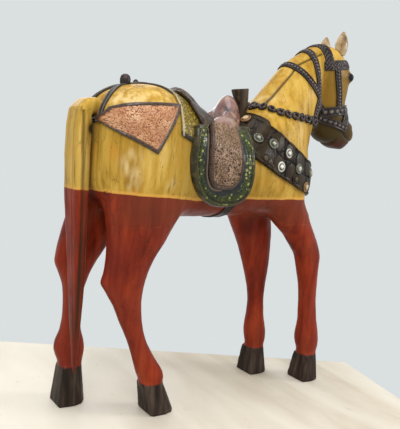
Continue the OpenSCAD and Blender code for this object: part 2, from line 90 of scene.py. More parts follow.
def make_studio():
    """Soft area lights before a pale even wall."""
    for name, place, target, size, watts, colour in LIGHTS:
        data = bpy.data.lights.new(name, "AREA")
        data.shape = "RECTANGLE"
        data.size, data.size_y = size
        data.energy = watts
        data.color = colour
        light = bpy.data.objects.new(name, data)
        light.location = place
        aim = Vector(target) - Vector(place)
        light.rotation_euler = aim.to_track_quat("-Z", "Y").to_euler()
        bpy.context.scene.collection.objects.link(light)
    world = bpy.data.worlds.new("studio")
    world.use_nodes = True
    wall = world.node_tree.nodes["Background"]
    wall.inputs["Color"].default_value = WALL
    wall.inputs["Strength"].default_value = WALL_STRENGTH
    bpy.context.scene.world = world
    bpy.context.scene.view_settings.view_transform = "Standard"


# ---------------------------------------------------------------- material building blocks

class Nodes:
    """A material's node tree with short calls for what is used again and again."""

    def __init__(self, name):
        self.material = bpy.data.materials.new(name)
        self.material.use_nodes = True
        self.tree = self.material.node_tree
        self.shader = self.tree.nodes["Principled BSDF"]
        self.place = self.tree.nodes.new("ShaderNodeTexCoord").outputs["Object"]

    def link(self, source, socket):
        if hasattr(source, "is_output"):
            self.tree.links.new(source, socket)
        else:
            socket.default_value = source

    def texture(self, kind, stretch, **numbers):
        mapping = self.tree.nodes.new("ShaderNodeMapping")
        mapping.inputs["Scale"].default_value = stretch
        self.tree.links.new(self.place, mapping.inputs["Vector"])
        node = self.tree.nodes.new(kind)
        for name, number in numbers.items():
            node.inputs[name].default_value = number
        self.tree.links.new(mapping.outputs["Vector"], node.inputs["Vector"])
        return node

    def noise(self, scale, detail=4, stretch=(1, 1, 1), twist=0):
        return self.texture("ShaderNodeTexNoise", stretch, Scale=scale, Detail=detail,
                            Roughness=0.55, Distortion=twist).outputs["Fac"]

    def cracks(self, scale, stretch):
        node = self.texture("ShaderNodeTexVoronoi", stretch, Scale=scale)
        node.feature = "DISTANCE_TO_EDGE"
        return node.outputs["Distance"]

    def cells(self, scale):
        node = self.texture("ShaderNodeTexVoronoi", (1, 1, 1), Scale=scale)
        return node.outputs["Distance"], node.outputs["Color"]

    def value(self, name):
        node = self.tree.nodes.new("ShaderNodeAttribute")
        node.attribute_name = name
        return node.outputs["Fac"]

    def math(self, kind, a, b, clamp=False):
        node = self.tree.nodes.new("ShaderNodeMath")
        node.operation = kind
        node.use_clamp = clamp
        self.link(a, node.inputs[0])
        self.link(b, node.inputs[1])
        return node.outputs[0]

    def times(self, *factors):
        out = factors[0]
        for factor in factors[1:]:
            out = self.math("MULTIPLY", out, factor)
        return out

    def plus(self, a, b):
        return self.math("ADD", a, b)

    def about_zero(self, source, strength):
        """A value from 0 to 1, turned into one from minus to plus half the strength."""
        return self.times(self.math("SUBTRACT", source, 0.5), strength)

    def step(self, source, low, high, to_low=0.0, to_high=1.0):
        node = self.tree.nodes.new("ShaderNodeMapRange")
        node.interpolation_type = "SMOOTHSTEP"
        self.tree.links.new(source, node.inputs["Value"])
        for socket, number in zip(node.inputs[1:5], (low, high, to_low, to_high)):
            socket.default_value = number
        return node.outputs[0]

    def axis(self, index):
        node = self.tree.nodes.new("ShaderNodeSeparateXYZ")
        self.tree.links.new(self.place, node.inputs[0])
        return node.outputs[index]

    def ramp(self, source, *stops):
        node = self.tree.nodes.new("ShaderNodeValToRGB")
        points = node.color_ramp.elements
        while len(points) < len(stops):
            points.new(0.5)
        for point, (where, colour) in zip(points, stops):
            point.position = where
            point.color = (*colour, 1)
        self.tree.links.new(source, node.inputs[0])
        return node.outputs["Color"]

    def over(self, under, colour, mask, strength=1.0):
        """Lays a colour over another where the mask is 1."""
        node = self.tree.nodes.new("ShaderNodeMix")
        node.data_type = "RGBA"
        self.link(mask if strength == 1.0 else self.times(mask, strength), node.inputs[0])
        for source, socket in ((under, node.inputs[6]), (colour, node.inputs[7])):
            self.link(source if hasattr(source, "is_output") else (*source, 1), socket)
        return node.outputs[2]

    def finish(self, colour, roughness, height, depth, coat=0.0, coat_roughness=0.2, shine=0.13):
        shader = self.shader
        self.link(colour, shader.inputs["Base Color"])
        self.link(roughness, shader.inputs["Roughness"])
        shader.inputs["Specular IOR Level"].default_value = shine
        shader.inputs["Coat Weight"].default_value = coat
        shader.inputs["Coat Roughness"].default_value = coat_roughness
        bump = self.tree.nodes.new("ShaderNodeBump")
        bump.inputs["Strength"].default_value = 1.0
        bump.inputs["Distance"].default_value = depth
        self.link(height, bump.inputs["Height"])
        self.link(bump.outputs[0], shader.inputs["Normal"])
        return self.material


# ---------------------------------------------------------------- materials

# Colours laid over the ochre ground.
CREAM, BARE = (0.74, 0.56, 0.27), (0.76, 0.58, 0.30)
ORANGE, DRIP = (0.56, 0.22, 0.025), (0.17, 0.085, 0.014)
FLANK, CHEEK = (0.28, 0.155, 0.018), (0.175, 0.090, 0.010)
JAW, LIPS = (0.038, 0.026, 0.008), (0.085, 0.022, 0.013)
# Colours laid over the red ground.
SCUFF, SMOKE, BELLY = (0.30, 0.13, 0.09), (0.10, 0.016, 0.012), (0.11, 0.035, 0.016)
# The second of these, a near-black, marks cracks and grime and is also painted shade in grooves and
# hollows.
BRUSH_EDGE, DARK_MARKS_AND_SHADE, PUPIL = (0.72, 0.36, 0.07), (0.035, 0.018, 0.008), (0.012, 0.012, 0.014)


def ochre_paint(n, x, z, streaks, mottled):
    """Ochre, worn pale in places, with drips, and darker on flank, cheek, jaw and lips."""
    ochre = n.ramp(mottled, (0.36, (0.25, 0.125, 0.012)), (0.45, (0.40, 0.225, 0.028)),
                   (0.54, (0.52, 0.315, 0.052)), (0.66, (0.62, 0.41, 0.10)))
    worn = n.step(n.noise(6.5, 3, (1, 1, 0.6)), 0.56, 0.72)
    ochre = n.over(ochre, CREAM, n.times(worn, n.step(streaks, 0.40, 0.62)), 0.62)
    ochre = n.over(ochre, BARE, n.value("wear"), 0.60)
    ochre = n.over(ochre, ORANGE, n.step(n.noise(14, 3), 0.56, 0.70), 0.35)
    drips = n.times(n.step(n.noise(150, 4, (1, 1, 0.05)), 0.58, 0.68),
                    n.step(n.noise(9, 3, (1, 1, 0.6)), 0.42, 0.60))
    ochre = n.over(ochre, DRIP, drips, 0.55)
    flank = n.times(n.step(x, -0.26, -0.20), n.step(x, 0.12, -0.02))
    ochre = n.over(ochre, FLANK, flank, 0.50)
    head = n.step(x, 0.226, 0.252)
    ochre = n.over(ochre, CHEEK, n.times(head, n.step(z, 0.815, 0.775)), 0.88)
    jaw = n.times(head, n.step(z, 0.705, 0.655), n.step(x, 0.350, 0.374, 0.93, 0.40))
    ochre = n.over(ochre, JAW, jaw)
    lips = n.times(n.step(x, 0.296, 0.318), n.step(z, 0.622, 0.600))
    return n.over(ochre, LIPS, lips, 0.75)


def red_paint(n, x, z, fine, mottled):
    """Brick red, scuffed and smoky, and browner under the belly."""
    red = n.ramp(mottled, (0.36, (0.12, 0.012, 0.005)), (0.48, (0.22, 0.024, 0.008)),
                 (0.62, (0.31, 0.044, 0.014)))
    scuffed = n.step(n.noise(11, 4, (1, 1, 0.5)), 0.62, 0.76)
    red = n.over(red, SCUFF, n.times(scuffed, n.step(fine, 0.45, 0.65)), 0.20)
    red = n.over(red, SMOKE, n.step(n.noise(7, 3, (1, 1, 0.7)), 0.40, 0.60), 0.38)
    belly = n.times(n.step(z, 0.385, 0.425), n.step(x, -0.34, -0.30))
    return n.over(red, BELLY, belly, 0.40)


def brushed_height(n, x, z):
    """Height measured against the paint line, which wavers, sags by the flap and rises at the tail."""
    wobble = n.about_zero(n.noise(24, 3), 0.005)
    sag = n.times(n.step(x, -0.23, -0.14, 0.0, 0.006), n.step(x, -0.02, -0.10))
    sag = n.plus(sag, n.step(x, -0.36, -0.24, -0.004, 0.0))
    return n.plus(z, n.plus(wobble, sag))


def grime_mask(n):
    """Crackle, specks, and the darkening in the carved grooves and hollows: grime together with
    painted shade.
    """
    crackle = n.times(n.step(n.cracks(95, (1, 1, 0.32)), 0.035, 0.0),
                      n.step(n.noise(16, 3), 0.50, 0.64), 0.55)
    specks = n.times(n.step(n.noise(330, 2, (1, 1, 0.5)), 0.67, 0.74),
                     n.step(n.noise(20, 3), 0.45, 0.62), 0.8)
    return n.math("MAXIMUM", n.math("MAXIMUM", crackle, specks), n.value("grime"), clamp=True)


def painted_wood():
    """Ochre above the paint line and brick red below it, brown hooves, all worn and crackled."""
    n = Nodes("painted_wood")
    x, z = n.axis(0), n.axis(2)
    streaks = n.noise(60, 6, (1, 1, 0.10))
    patches = n.noise(9, 4, (1, 1, 0.55), twist=0.6)
    fine = n.noise(420, 3, (1, 1, 0.16))
    mottled = n.plus(n.times(streaks, 0.55), n.times(patches, 0.45))
    line = brushed_height(n, x, z)
    colour = n.over(red_paint(n, x, z, fine, mottled), ochre_paint(n, x, z, streaks, mottled),
                    n.step(line, PAINT_LINE - 0.001, PAINT_LINE + 0.001))
    edge = n.times(n.step(line, PAINT_LINE - 0.0015, PAINT_LINE + 0.0005),
                   n.step(line, PAINT_LINE + 0.0075, PAINT_LINE + 0.0035))
    colour = n.over(colour, BRUSH_EDGE, edge, 0.55)
    hoof = n.ramp(n.noise(75, 5, (1, 1, 0.10)), (0.32, (0.014, 0.009, 0.007)),
                  (0.52, (0.036, 0.024, 0.018)), (0.72, (0.080, 0.058, 0.044)))
    colour = n.over(colour, hoof, n.value("hoof"))
    grime = grime_mask(n)
    # Near-black over the cracks, specks and grime, and as painted shade in the carved grooves and
    # hollows and under the tail root.
    colour = n.over(colour, DARK_MARKS_AND_SHADE, grime)
    colour = n.over(colour, PUPIL, n.value("pupil"))
    height = n.plus(n.times(streaks, 0.6), n.times(fine, 0.25))
    height = n.plus(height, n.times(grime, -0.5))
    rough = n.step(n.noise(18, 4), 0.35, 0.70, 0.30, 0.50)
    rough = n.plus(rough, n.times(n.value("hoof"), 0.12))
    return n.finish(colour, rough, height, 0.0012, coat=0.05, coat_roughness=0.24, shine=0.07)


def relief_paint(name, *stops, gloss=0.34, coat=0.12, speckle=0.25, glaze=None):
    """Painted shade in the recesses and a painted highlight on what stands proud, both read from a
    value that follows the relief's height.
    """
    n = Nodes(name)
    fine, broad = n.noise(260), n.noise(38)
    # The relief's painted light and shade, a little speckled.
    source = n.plus(n.value("lift"), n.about_zero(fine, speckle))
    colour = n.ramp(n.plus(source, n.about_zero(broad, 0.5)), *stops)
    if glaze:
        colour = n.over(colour, glaze, n.step(n.noise(22, 3), 0.46, 0.62), 0.6)
        bars = n.ramp(fine, (0.35, (0.035, 0.022, 0.016)), (0.70, (0.112, 0.0704, 0.0512)))
        colour = n.over(colour, bars, n.value("frame"))
    rough = n.step(broad, 0.35, 0.65, gloss - 0.06, gloss + 0.14)
    return n.finish(colour, rough, fine, 0.0005, coat=coat, shine=0.12)


def grained(name, stops, scale, stretch, gloss, coat, depth=0.0006, twist=0.3):
    """Wood or varnish with a grain drawn out along the figure's height."""
    n = Nodes(name)
    lines, broad = n.noise(scale, 6, (1, 1, stretch), twist=twist), n.noise(16, 3)
    source = n.plus(lines, n.about_zero(broad, 0.45))
    rough = n.step(broad, 0.35, 0.65, gloss - 0.05, gloss + 0.12)
    return n.finish(n.ramp(source, *stops), rough, lines, depth, coat=coat)


def cloth_paint():
    """Small light flowers and leaves on an olive yellow ground, with a painted highlight along the
    piping.
    """
    n = Nodes("cloth_yellow")
    ground, scale = (0.11, 0.070, 0.008), 150
    distance, tint = n.cells(scale)
    ring = n.step(distance, 0.34, 0.20)
    leaves = n.step(n.noise(scale * 2.2, 2, twist=1.5), 0.50, 0.58)
    colour = n.over(ground, (0.37, 0.26, 0.030), leaves)
    colour = n.over(colour, (0.48, 0.39, 0.07), n.times(ring, n.step(tint, 0.35, 0.55)))
    colour = n.over(colour, ground, n.step(distance, 0.14, 0.08))
    # A painted highlight along the piping, then the cloth's dark lower edge.
    colour = n.over(colour, (0.56, 0.46, 0.30), n.value("trim"))
    colour = n.over(colour, (0.022, 0.016, 0.012), n.value("grime"))
    rough = n.step(n.noise(30, 3), 0.35, 0.65, 0.28, 0.42)
    return n.finish(colour, rough, n.plus(ring, leaves), 0.0006, coat=0.3)


def flap_paint():
    """'ring' runs from 0 at the flap's rim to 1 at its middle panel."""
    n = Nodes("flap_green")
    ring = n.value("ring")
    distance, tint = n.cells(105)
    flower = n.times(n.step(distance, 0.42, 0.26), n.step(tint, 0.38, 0.50))
    leaves = n.step(n.noise(230, 3, twist=1.2), 0.47, 0.60)
    patchy = n.noise(70)
    rim = n.ramp(patchy, (0.35, (0.018, 0.015, 0.006)), (0.60, (0.060, 0.048, 0.020)))
    green = n.ramp(ring, (0.20, (0.042, 0.048, 0.008)), (0.48, (0.020, 0.032, 0.010)),
                   (0.70, (0.008, 0.016, 0.017)))
    green = n.over(green, (0.100, 0.115, 0.018), leaves, 0.60)
    green = n.over(green, (0.36, 0.35, 0.095), flower, 0.85)
    inner = n.ramp(patchy, (0.35, (0.010, 0.012, 0.014)), (0.60, (0.028, 0.030, 0.028)))
    green = n.over(green, inner, n.step(ring, 0.66, 0.76))
    colour = n.over(rim, green, n.step(ring, 0.20, 0.27))
    # A painted highlight along the panel's rear edge, then near-black grime together with painted
    # shade in the rim's groove.
    colour = n.over(colour, (0.27, 0.19, 0.13), n.value("trim"))
    colour = n.over(colour, (0.012, 0.010, 0.008), n.value("grime"))
    band = n.times(n.step(ring, 0.22, 0.28), n.step(ring, 0.74, 0.62))
    height = n.times(n.plus(flower, n.times(leaves, 0.5)), band)
    rough = n.step(n.noise(40, 3), 0.35, 0.65, 0.22, 0.36)
    return n.finish(colour, rough, height, 0.0010, coat=0.25)


def floor_paint():
    """Pale travertine with faint long veins and small pits, and a painted pool of light on the left.
    """
    n = Nodes("floor")
    veins = n.noise(7, 6, (1.0, 0.25, 1), twist=0.6)
    pits = n.step(n.noise(90, 3, (1.0, 0.35, 1)), 0.66, 0.74)
    colour = n.ramp(veins, (0.34, (0.50, 0.43, 0.335)), (0.50, (0.60, 0.535, 0.435)),
                    (0.66, (0.68, 0.625, 0.53)))
    # Painted light: the stone is lightened towards the left.
    colour = n.over(colour, (0.83, 0.775, 0.68), n.step(n.axis(0), 0.25, -0.55, 0.0, 0.65))
    colour = n.over(colour, (0.33, 0.27, 0.20), pits, 0.35)
    return n.finish(colour, 0.42, veins, 0.0003)


def make_materials():
    """Every material by name; the four or fewer stops run from the recesses to the highlights, which
    on the carved reliefs are painted shade and painted highlight.
    """
    brown = ((0.30, (0.012, 0.007, 0.004)), (0.50, (0.042, 0.025, 0.013)),
             (0.66, (0.098, 0.060, 0.031)), (0.80, (0.15, 0.098, 0.056)))
    rose = ((0.32, (0.060, 0.045, 0.046)), (0.46, (0.20, 0.095, 0.085)),
            (0.56, (0.27, 0.145, 0.115)), (0.70, (0.25, 0.20, 0.13)))
    tan = ((0.30, (0.10, 0.058, 0.018)), (0.50, (0.30, 0.19, 0.085)), (0.70, (0.46, 0.34, 0.19)))
    bare = ((0.30, (0.35, 0.20, 0.09)), (0.50, (0.50, 0.32, 0.16)), (0.72, (0.62, 0.44, 0.25)))
    made = [
        painted_wood(),
        grained("saddle_brown", brown, 120, 0.10, 0.34, 0.25),
        grained("horn_brown", brown, 150, 0.07, 0.40, 0.12),
        grained("pommel_rose", rose, 26, 0.6, 0.16, 0.9, 0.0003, 1.2),
        grained("ear_tan", tan, 46, 0.4, 0.24, 0.6, 0.0004),
        grained("bare_wood", bare, 90, 0.12, 0.60, 0.0),
        cloth_paint(),
        flap_paint(),
        relief_paint("panel_rose", (0.14, (0.008, 0.005, 0.004)), (0.40, (0.052, 0.028, 0.017)),
                     (0.66, (0.19, 0.108, 0.066)), (0.95, (0.42, 0.29, 0.20)),
                     gloss=0.30, coat=0.15, glaze=(0.15, 0.095, 0.045), speckle=0.12),
        relief_paint("rump_copper", (0.14, (0.075, 0.024, 0.008)), (0.40, (0.26, 0.095, 0.034)),
                     (0.66, (0.47, 0.215, 0.095)), (0.95, (0.68, 0.43, 0.25)),
                     gloss=0.25, coat=0.4, glaze=(0.36, 0.13, 0.055), speckle=0.12),
        relief_paint("strap_dark", (0.20, (0.010, 0.007, 0.006)), (0.48, (0.036, 0.026, 0.024)),
                     (0.70, (0.080, 0.058, 0.054)), (0.95, (0.25, 0.20, 0.185))),
        relief_paint("collar_brown", (0.18, (0.005, 0.003, 0.002)), (0.45, (0.021, 0.012, 0.005)),
                     (0.72, (0.044, 0.029, 0.013)), (0.95, (0.12, 0.085, 0.050)),
                     gloss=0.40, coat=0.05),
        relief_paint("crupper_grey", (0.20, (0.014, 0.012, 0.010)), (0.50, (0.060, 0.050, 0.044)),
                     (0.75, (0.13, 0.11, 0.105)), (0.95, (0.28, 0.24, 0.22))),
        relief_paint("boss_silver_green", (0.15, (0.016, 0.016, 0.011)),
                     (0.42, (0.075, 0.075, 0.050)), (0.70, (0.20, 0.20, 0.15)),
                     (0.95, (0.50, 0.48, 0.39)), gloss=0.26, coat=0.3),
        relief_paint("boss_bright", (0.15, (0.020, 0.020, 0.016)), (0.40, (0.22, 0.21, 0.17)),
                     (0.62, (0.56, 0.54, 0.46)), (0.95, (0.88, 0.86, 0.78)), gloss=0.24, coat=0.4),
        relief_paint("boss_gold", (0.15, (0.04, 0.017, 0.010)), (0.45, (0.17, 0.085, 0.034)),
                     (0.72, (0.33, 0.20, 0.085)), (0.95, (0.60, 0.48, 0.29)), gloss=0.28, coat=0.3),
        floor_paint(),
    ]
    # Blender numbers a name that the CAD's own materials already have.
    return {material.name.split(".")[0]: material for material in made}


# ---------------------------------------------------------------- mesh building blocks

def add_object(name, mesh, material, slot, *nodes):
    """A finished piece that rides on the figure and stands for the named CAD nodes."""
    mesh.materials.clear()
    mesh.materials.append(MATERIALS[material])
    piece = bpy.data.objects.new(name, mesh)
    bpy.context.scene.collection.objects.link(piece)
    mesh.polygons.foreach_set("use_smooth", [True] * len(mesh.polygons))
    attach(piece, "root")
    if nodes:
        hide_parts(*nodes)


def points_of(mesh):
    """The vertices' places as an array."""
    co = np.empty(len(mesh.vertices) * 3)
    mesh.vertices.foreach_get("co", co)
    return co.reshape(-1, 3)


def move_points(mesh, points):
    mesh.vertices.foreach_set("co", points.ravel())
    mesh.update()


def normals_of(mesh):
    """The vertices' normals as an array."""
    out = np.empty(len(mesh.vertices) * 3)
    mesh.vertex_normals.foreach_get("vector", out)
    return out.reshape(-1, 3)


def keep_value(mesh, name, values):
    """Keeps a number for every vertex, for the materials to read by name."""
    layer = mesh.attributes.new(name, "FLOAT", "POINT")
    layer.data.foreach_set("value", np.asarray(values, float).ravel())


def ramp(values, low, high):
    """A smooth step from 0 at low to 1 at high."""
    t = np.clip((values - low) / (high - low), 0, 1)
    return t * t * (3 - 2 * t)


def merged(names, push):
    """CAD nodes as one mesh, each pushed out by a hair so that neighbours overlap."""
    whole = bmesh.new()
    for name in names:
        part = bmesh.new()
        part.from_mesh(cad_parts[name].data)
        bmesh.ops.remove_doubles(part, verts=part.verts, dist=1e-6)
        bmesh.ops.recalc_face_normals(part, faces=part.faces)
        part.normal_update()
        for vert in part.verts:
            vert.co += vert.normal * push
        mesh = bpy.data.meshes.new("part")
        part.to_mesh(mesh)
        part.free()
        whole.from_mesh(mesh)
        bpy.data.meshes.remove(mesh)
    mesh = bpy.data.meshes.new("merged")
    whole.to_mesh(mesh)
    whole.free()
    return mesh


def remeshed(mesh, voxel):
    """An even mesh of the outer surface only."""
    holder = bpy.data.objects.new("remesh", mesh)
    bpy.context.scene.collection.objects.link(holder)
    modifier = holder.modifiers.new("remesh", "REMESH")
    modifier.mode = "VOXEL"
    modifier.voxel_size = voxel
    graph = bpy.context.evaluated_depsgraph_get()
    result = bpy.data.meshes.new_from_object(holder.evaluated_get(graph))
    bpy.data.objects.remove(holder)
    bm = bmesh.new()
    bm.from_mesh(result)
    keep_largest(bm)
    bm.to_mesh(result)
    bm.free()
    return result


def keep_largest(bm):
    seen, groups = set(), []
    for start in bm.verts:
        if start in seen:
            continue
        seen.add(start)
        group = [start]
        for vert in group:
            for link in vert.link_edges:
                other = link.other_vert(vert)
                if other not in seen:
                    seen.add(other)
                    group.append(other)
        groups.append(group)
    largest = max(groups, key=len)
    for group in groups:
        if group is not largest:
            bmesh.ops.delete(bm, geom=group, context="VERTS")


def smoothed(mesh, passes, weight=1.0):
    points = points_of(mesh)
    count = len(points)
    edges = np.empty(len(mesh.edges) * 2, int)
    mesh.edges.foreach_get("vertices", edges)
    a, b = edges[0::2], edges[1::2]
    degree = (np.bincount(a, minlength=count) + np.bincount(b, minlength=count))[:, None]
    amount = 0.5 * np.broadcast_to(weight, count)[:, None]
    for _ in range(passes):
        total = np.stack([np.bincount(a, points[b, k], count) + np.bincount(b, points[a, k], count)
                          for k in range(3)], 1)
        points += amount * (total / degree - points)
    move_points(mesh, points)


def push_out(mesh, push):
    """Moves every vertex along its normal by its push in mm."""
    move_points(mesh, points_of(mesh) + normals_of(mesh) * (push * MM)[:, None])


def noise_field(points, scale, offset=0.0):
    """Soft noise about zero at each point."""
    shift = Vector((offset, offset * 1.7, offset * 0.6))
    return np.array([noise.noise(Vector(p) * scale + shift) for p in points])


def path_distance(flat, path):
    """Distance from 2-D points to a line through the path's points."""
    best = np.full(len(flat), 1e9)
    for start, end in zip(path[:-1], path[1:]):
        start, end = np.array(start), np.array(end)
        along = end - start
        t = np.clip(((flat - start) @ along) / (along @ along), 0, 1)
        best = np.minimum(best, np.linalg.norm(flat - start - t[:, None] * along, axis=1))
    return best


def run_length(line):
    """Distance along a line of points, to each of them."""
    return np.concatenate([[0], np.cumsum(np.linalg.norm(np.diff(line, axis=0), axis=1))])


def even_points(line, length, where):
    """Points on a line at given distances along it."""
    return np.stack([np.interp(where, length, line[:, k]) for k in range(line.shape[1])], 1)


# ---------------------------------------------------------------- the carved figure

CARVED = ["haunch_block", "barrel_block", "chest_block", "neck_block", "head_block",
          "foreleg_left", "foreleg_right", "hindleg_left", "hindleg_right"]
INNER = ["rear_dowels", "front_dowels", "neck_dowel", "head_dowel", "leg_dowels"]

# Where the blocks were glued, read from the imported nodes.
HAUNCH_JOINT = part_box("barrel_block")[0].x
CHEST_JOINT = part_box("barrel_block")[1].x
LEG_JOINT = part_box("foreleg_left")[1].z
# The joints of neck and head slant; each goes through two [x, z] points in mm.
BREAST_JOINT = (300, 480), (-10, 640)
POLL_JOINT = (247, 620), (206, 860)

# Incised line of the mane along the neck, the mouth and the chin's groove, as [x, z] in mm.
MANE_LINE = [(64, 677), (85, 696), (104, 717), (140, 755), (160, 779), (187, 793), (228, 813)]
MOUTH = [(318, 634), (338, 620), (372, 611)]
CHIN = (302, 602)
EYE = (0.333, 0.033, 0.771)
NOSTRIL = (0.374, 0.024, 0.640)
# How far the breast and throat are hollowed back (mm) at each height.
BREAST_Z = [0.425, 0.440, 0.480, 0.530, 0.580, 0.615, 0.640, 0.660]
BREAST_BACK = [0, 5, 12, 20, 23, 15, 6, 0]
# Worn places on the sides: middle and radii, as [x, z] in mm.
WORN = [((-308, 523), (26, 34)), ((-300, 500), (16, 40)), ((-222, 489), (14, 16)),
        ((70, 560), (14, 30)), ((64, 690), (26, 14)), ((-312, 640), (22, 12))]


def bump(distance, width):
    """1 at no distance, falling off like a bell."""
    return np.exp(-(distance / width) ** 2)


def throat_front(z):
    """Where the neck ends and the jaw begins, as x for each height."""
    return 0.21 + (0.86 - z) * 0.17


def hoof_share(points):
    """1 on the hooves and 0 above them; the left hind hoof is the tallest."""
    tall = (points[:, 0] < -0.26) & (points[:, 1] > 0)
    top = np.where(tall, 0.084, 0.067)
    return ramp(top - points[:, 2], -0.002, 0.003)


def carve_figure():
    """One even surface of all the blocks, rounded where they meet and then carved."""
    mesh = remeshed(merged(CARVED + INNER, 0.4 * MM), 2.5 * MM)
    points = points_of(mesh)
    x, z = points[:, 0], points[:, 2]
    head = ramp(x - throat_front(z), 0, 0.03) * (z > 0.58)
    weight = (0.16 + 0.84 * ramp(z, 0.36, 0.44)) * (1 - 0.80 * head)
    smoothed(mesh, 150, np.where(z < 0.09, 0.05, weight))
    draw_in_breast(mesh)
    sculpt(mesh)
    smoothed(mesh, 2, 0.6)
    return mesh


def draw_in_breast(mesh):
    """The breast and throat are hollowed back a little from the blocks' front."""
    points = points_of(mesh)
    x, z = points[:, 0], points[:, 2]
    forward = np.clip((x - 0.070) / 0.160, 0, 1) * ramp(throat_front(z) + 0.004 - x, -0.004, 0.004)
    points[:, 0] -= np.interp(z, BREAST_Z, BREAST_BACK) * MM * forward
    move_points(mesh, points)


def sculpt(mesh):
    """Chisel marks, the mane line, eyes, nostrils, mouth and chin."""
    points, normals = points_of(mesh), normals_of(mesh)
    flat = points[:, [0, 2]] / MM
    mirrored = np.abs(points) * [0, 1, 0] + points * [1, 0, 1]
    chisel = noise_field(points, 26) * 0.9 + noise_field(points, 75, 5.0) * 0.35
    chisel *= 1 - 0.7 * hoof_share(points)
    mane = bump(path_distance(flat, MANE_LINE), 2.0) * ramp(np.abs(points[:, 1]), 0.001, 0.006)
    mouth = bump(path_distance(flat, MOUTH), 3.0) * ramp(np.abs(normals[:, 1]), 0.2, 0.5)
    mouth *= points[:, 0] > 0.28
    nostril = np.linalg.norm((mirrored - NOSTRIL) / [1, 1, 1.5], axis=1) / MM
    nose = 2.5 * bump(nostril - 11, 5) - 4.5 * bump(nostril, 6)
    eye = np.linalg.norm((mirrored - EYE) / [1.25, 1.0, 0.85], axis=1) / MM
    lids = 1.6 * bump(eye - 19, 2.6) * (points[:, 2] > 0.76)
    push = chisel - 1.8 * mane - 2.6 * mouth + nose + lids
    points = points + normals * (push * MM)[:, None]
    chin = bump(np.linalg.norm((flat - CHIN) / [1, 1.6], axis=1), 6)
    move_points(mesh, points - normals * (5.0 * chin * MM)[:, None])
    # The mane line, mouth, nostrils and the crease round the eyes are darkened: grime together with
    # painted shade in these hollows.
    crease = 0.8 * bump(eye - 15, 2.2)
    grime = 0.95 * mane + 0.7 * mouth + 0.8 * bump(nostril, 7) + crease
    keep_value(mesh, "grime", np.clip(grime, 0, 1))
    keep_value(mesh, "pupil", ramp(-eye, -14.5, -12.5))
    points = points_of(mesh)
    keep_value(mesh, "hoof", hoof_share(points) * (points[:, 2] < 0.1))
    wear = np.zeros(len(points))
    for centre, radii in WORN:
        reach = np.linalg.norm((flat - centre) / radii, axis=1)
        wear = np.maximum(wear, ramp(-reach, -1.15, -0.35))
    ragged = 0.5 + noise_field(points * [1, 1, 0.35], 120, 9.0)
    keep_value(mesh, "wear", np.clip(wear * ragged, 0, 1))


def cut_block(mesh, planes):
    """The part of the figure behind every plane (point, outward normal), capped flat."""
    bm = bmesh.new()
    bm.from_mesh(mesh)
    for point, normal in planes:
        cut = bmesh.ops.bisect_plane(
            bm, geom=bm.verts[:] + bm.edges[:] + bm.faces[:], dist=1e-6,
            plane_co=point, plane_no=normal, clear_outer=True)
        rim = [e for e in cut["geom_cut"] if isinstance(e, bmesh.types.BMEdge)]
        caps = bmesh.ops.holes_fill(bm, edges=rim, sides=0)["faces"]
        bmesh.ops.triangulate(bm, faces=caps)
    part = bpy.data.meshes.new("block")
    bm.to_mesh(part)
    bm.free()
    return part


def line_plane(low, high):
    """A plane across the figure through two [x, z] points, facing forward."""
    along = Vector((high[0] - low[0], 0, high[1] - low[1]))
    return Vector((low[0], 0, low[1])) * MM, Vector((along.z, 0, -along.x)).normalized()


def make_carved_pieces(mesh):
    """Splits the carved surface where the real blocks are glued, so that every piece is closed."""
    ahead, above = Vector((1, 0, 0)), Vector((0, 0, 1))
    haunch, chest = Vector((HAUNCH_JOINT, 0, 0)), Vector((CHEST_JOINT, 0, 0))
    hip, middle = Vector((0, 0, LEG_JOINT)), Vector((-0.05, 0, 0))
    breast, breast_out = line_plane(*BREAST_JOINT)
    poll, poll_out = line_plane(*POLL_JOINT)
    trunk = [(hip, -above), (breast, breast_out)]
    blocks = {
        "haunch_block": trunk + [(haunch, ahead)],
        "barrel_block": trunk + [(haunch, -ahead), (chest, ahead)],
        "chest_block": trunk + [(chest, -ahead)],
        "neck_block": [(breast, -breast_out), (poll, poll_out)],
        "head_block": [(breast, -breast_out), (poll, -poll_out)],
    }
    for end, facing_out in (("hind", ahead), ("fore", -ahead)):
        for name, side in SIDES:
            inner_side = (Vector(), Vector((0, -side, 0)))
            blocks[f"{end}leg_{name}"] = [(hip, above), (middle, facing_out), inner_side]
    for name, planes in blocks.items():
        add_object(f"carved_{name}", cut_block(mesh, planes), "painted_wood", "painted_wood", name)


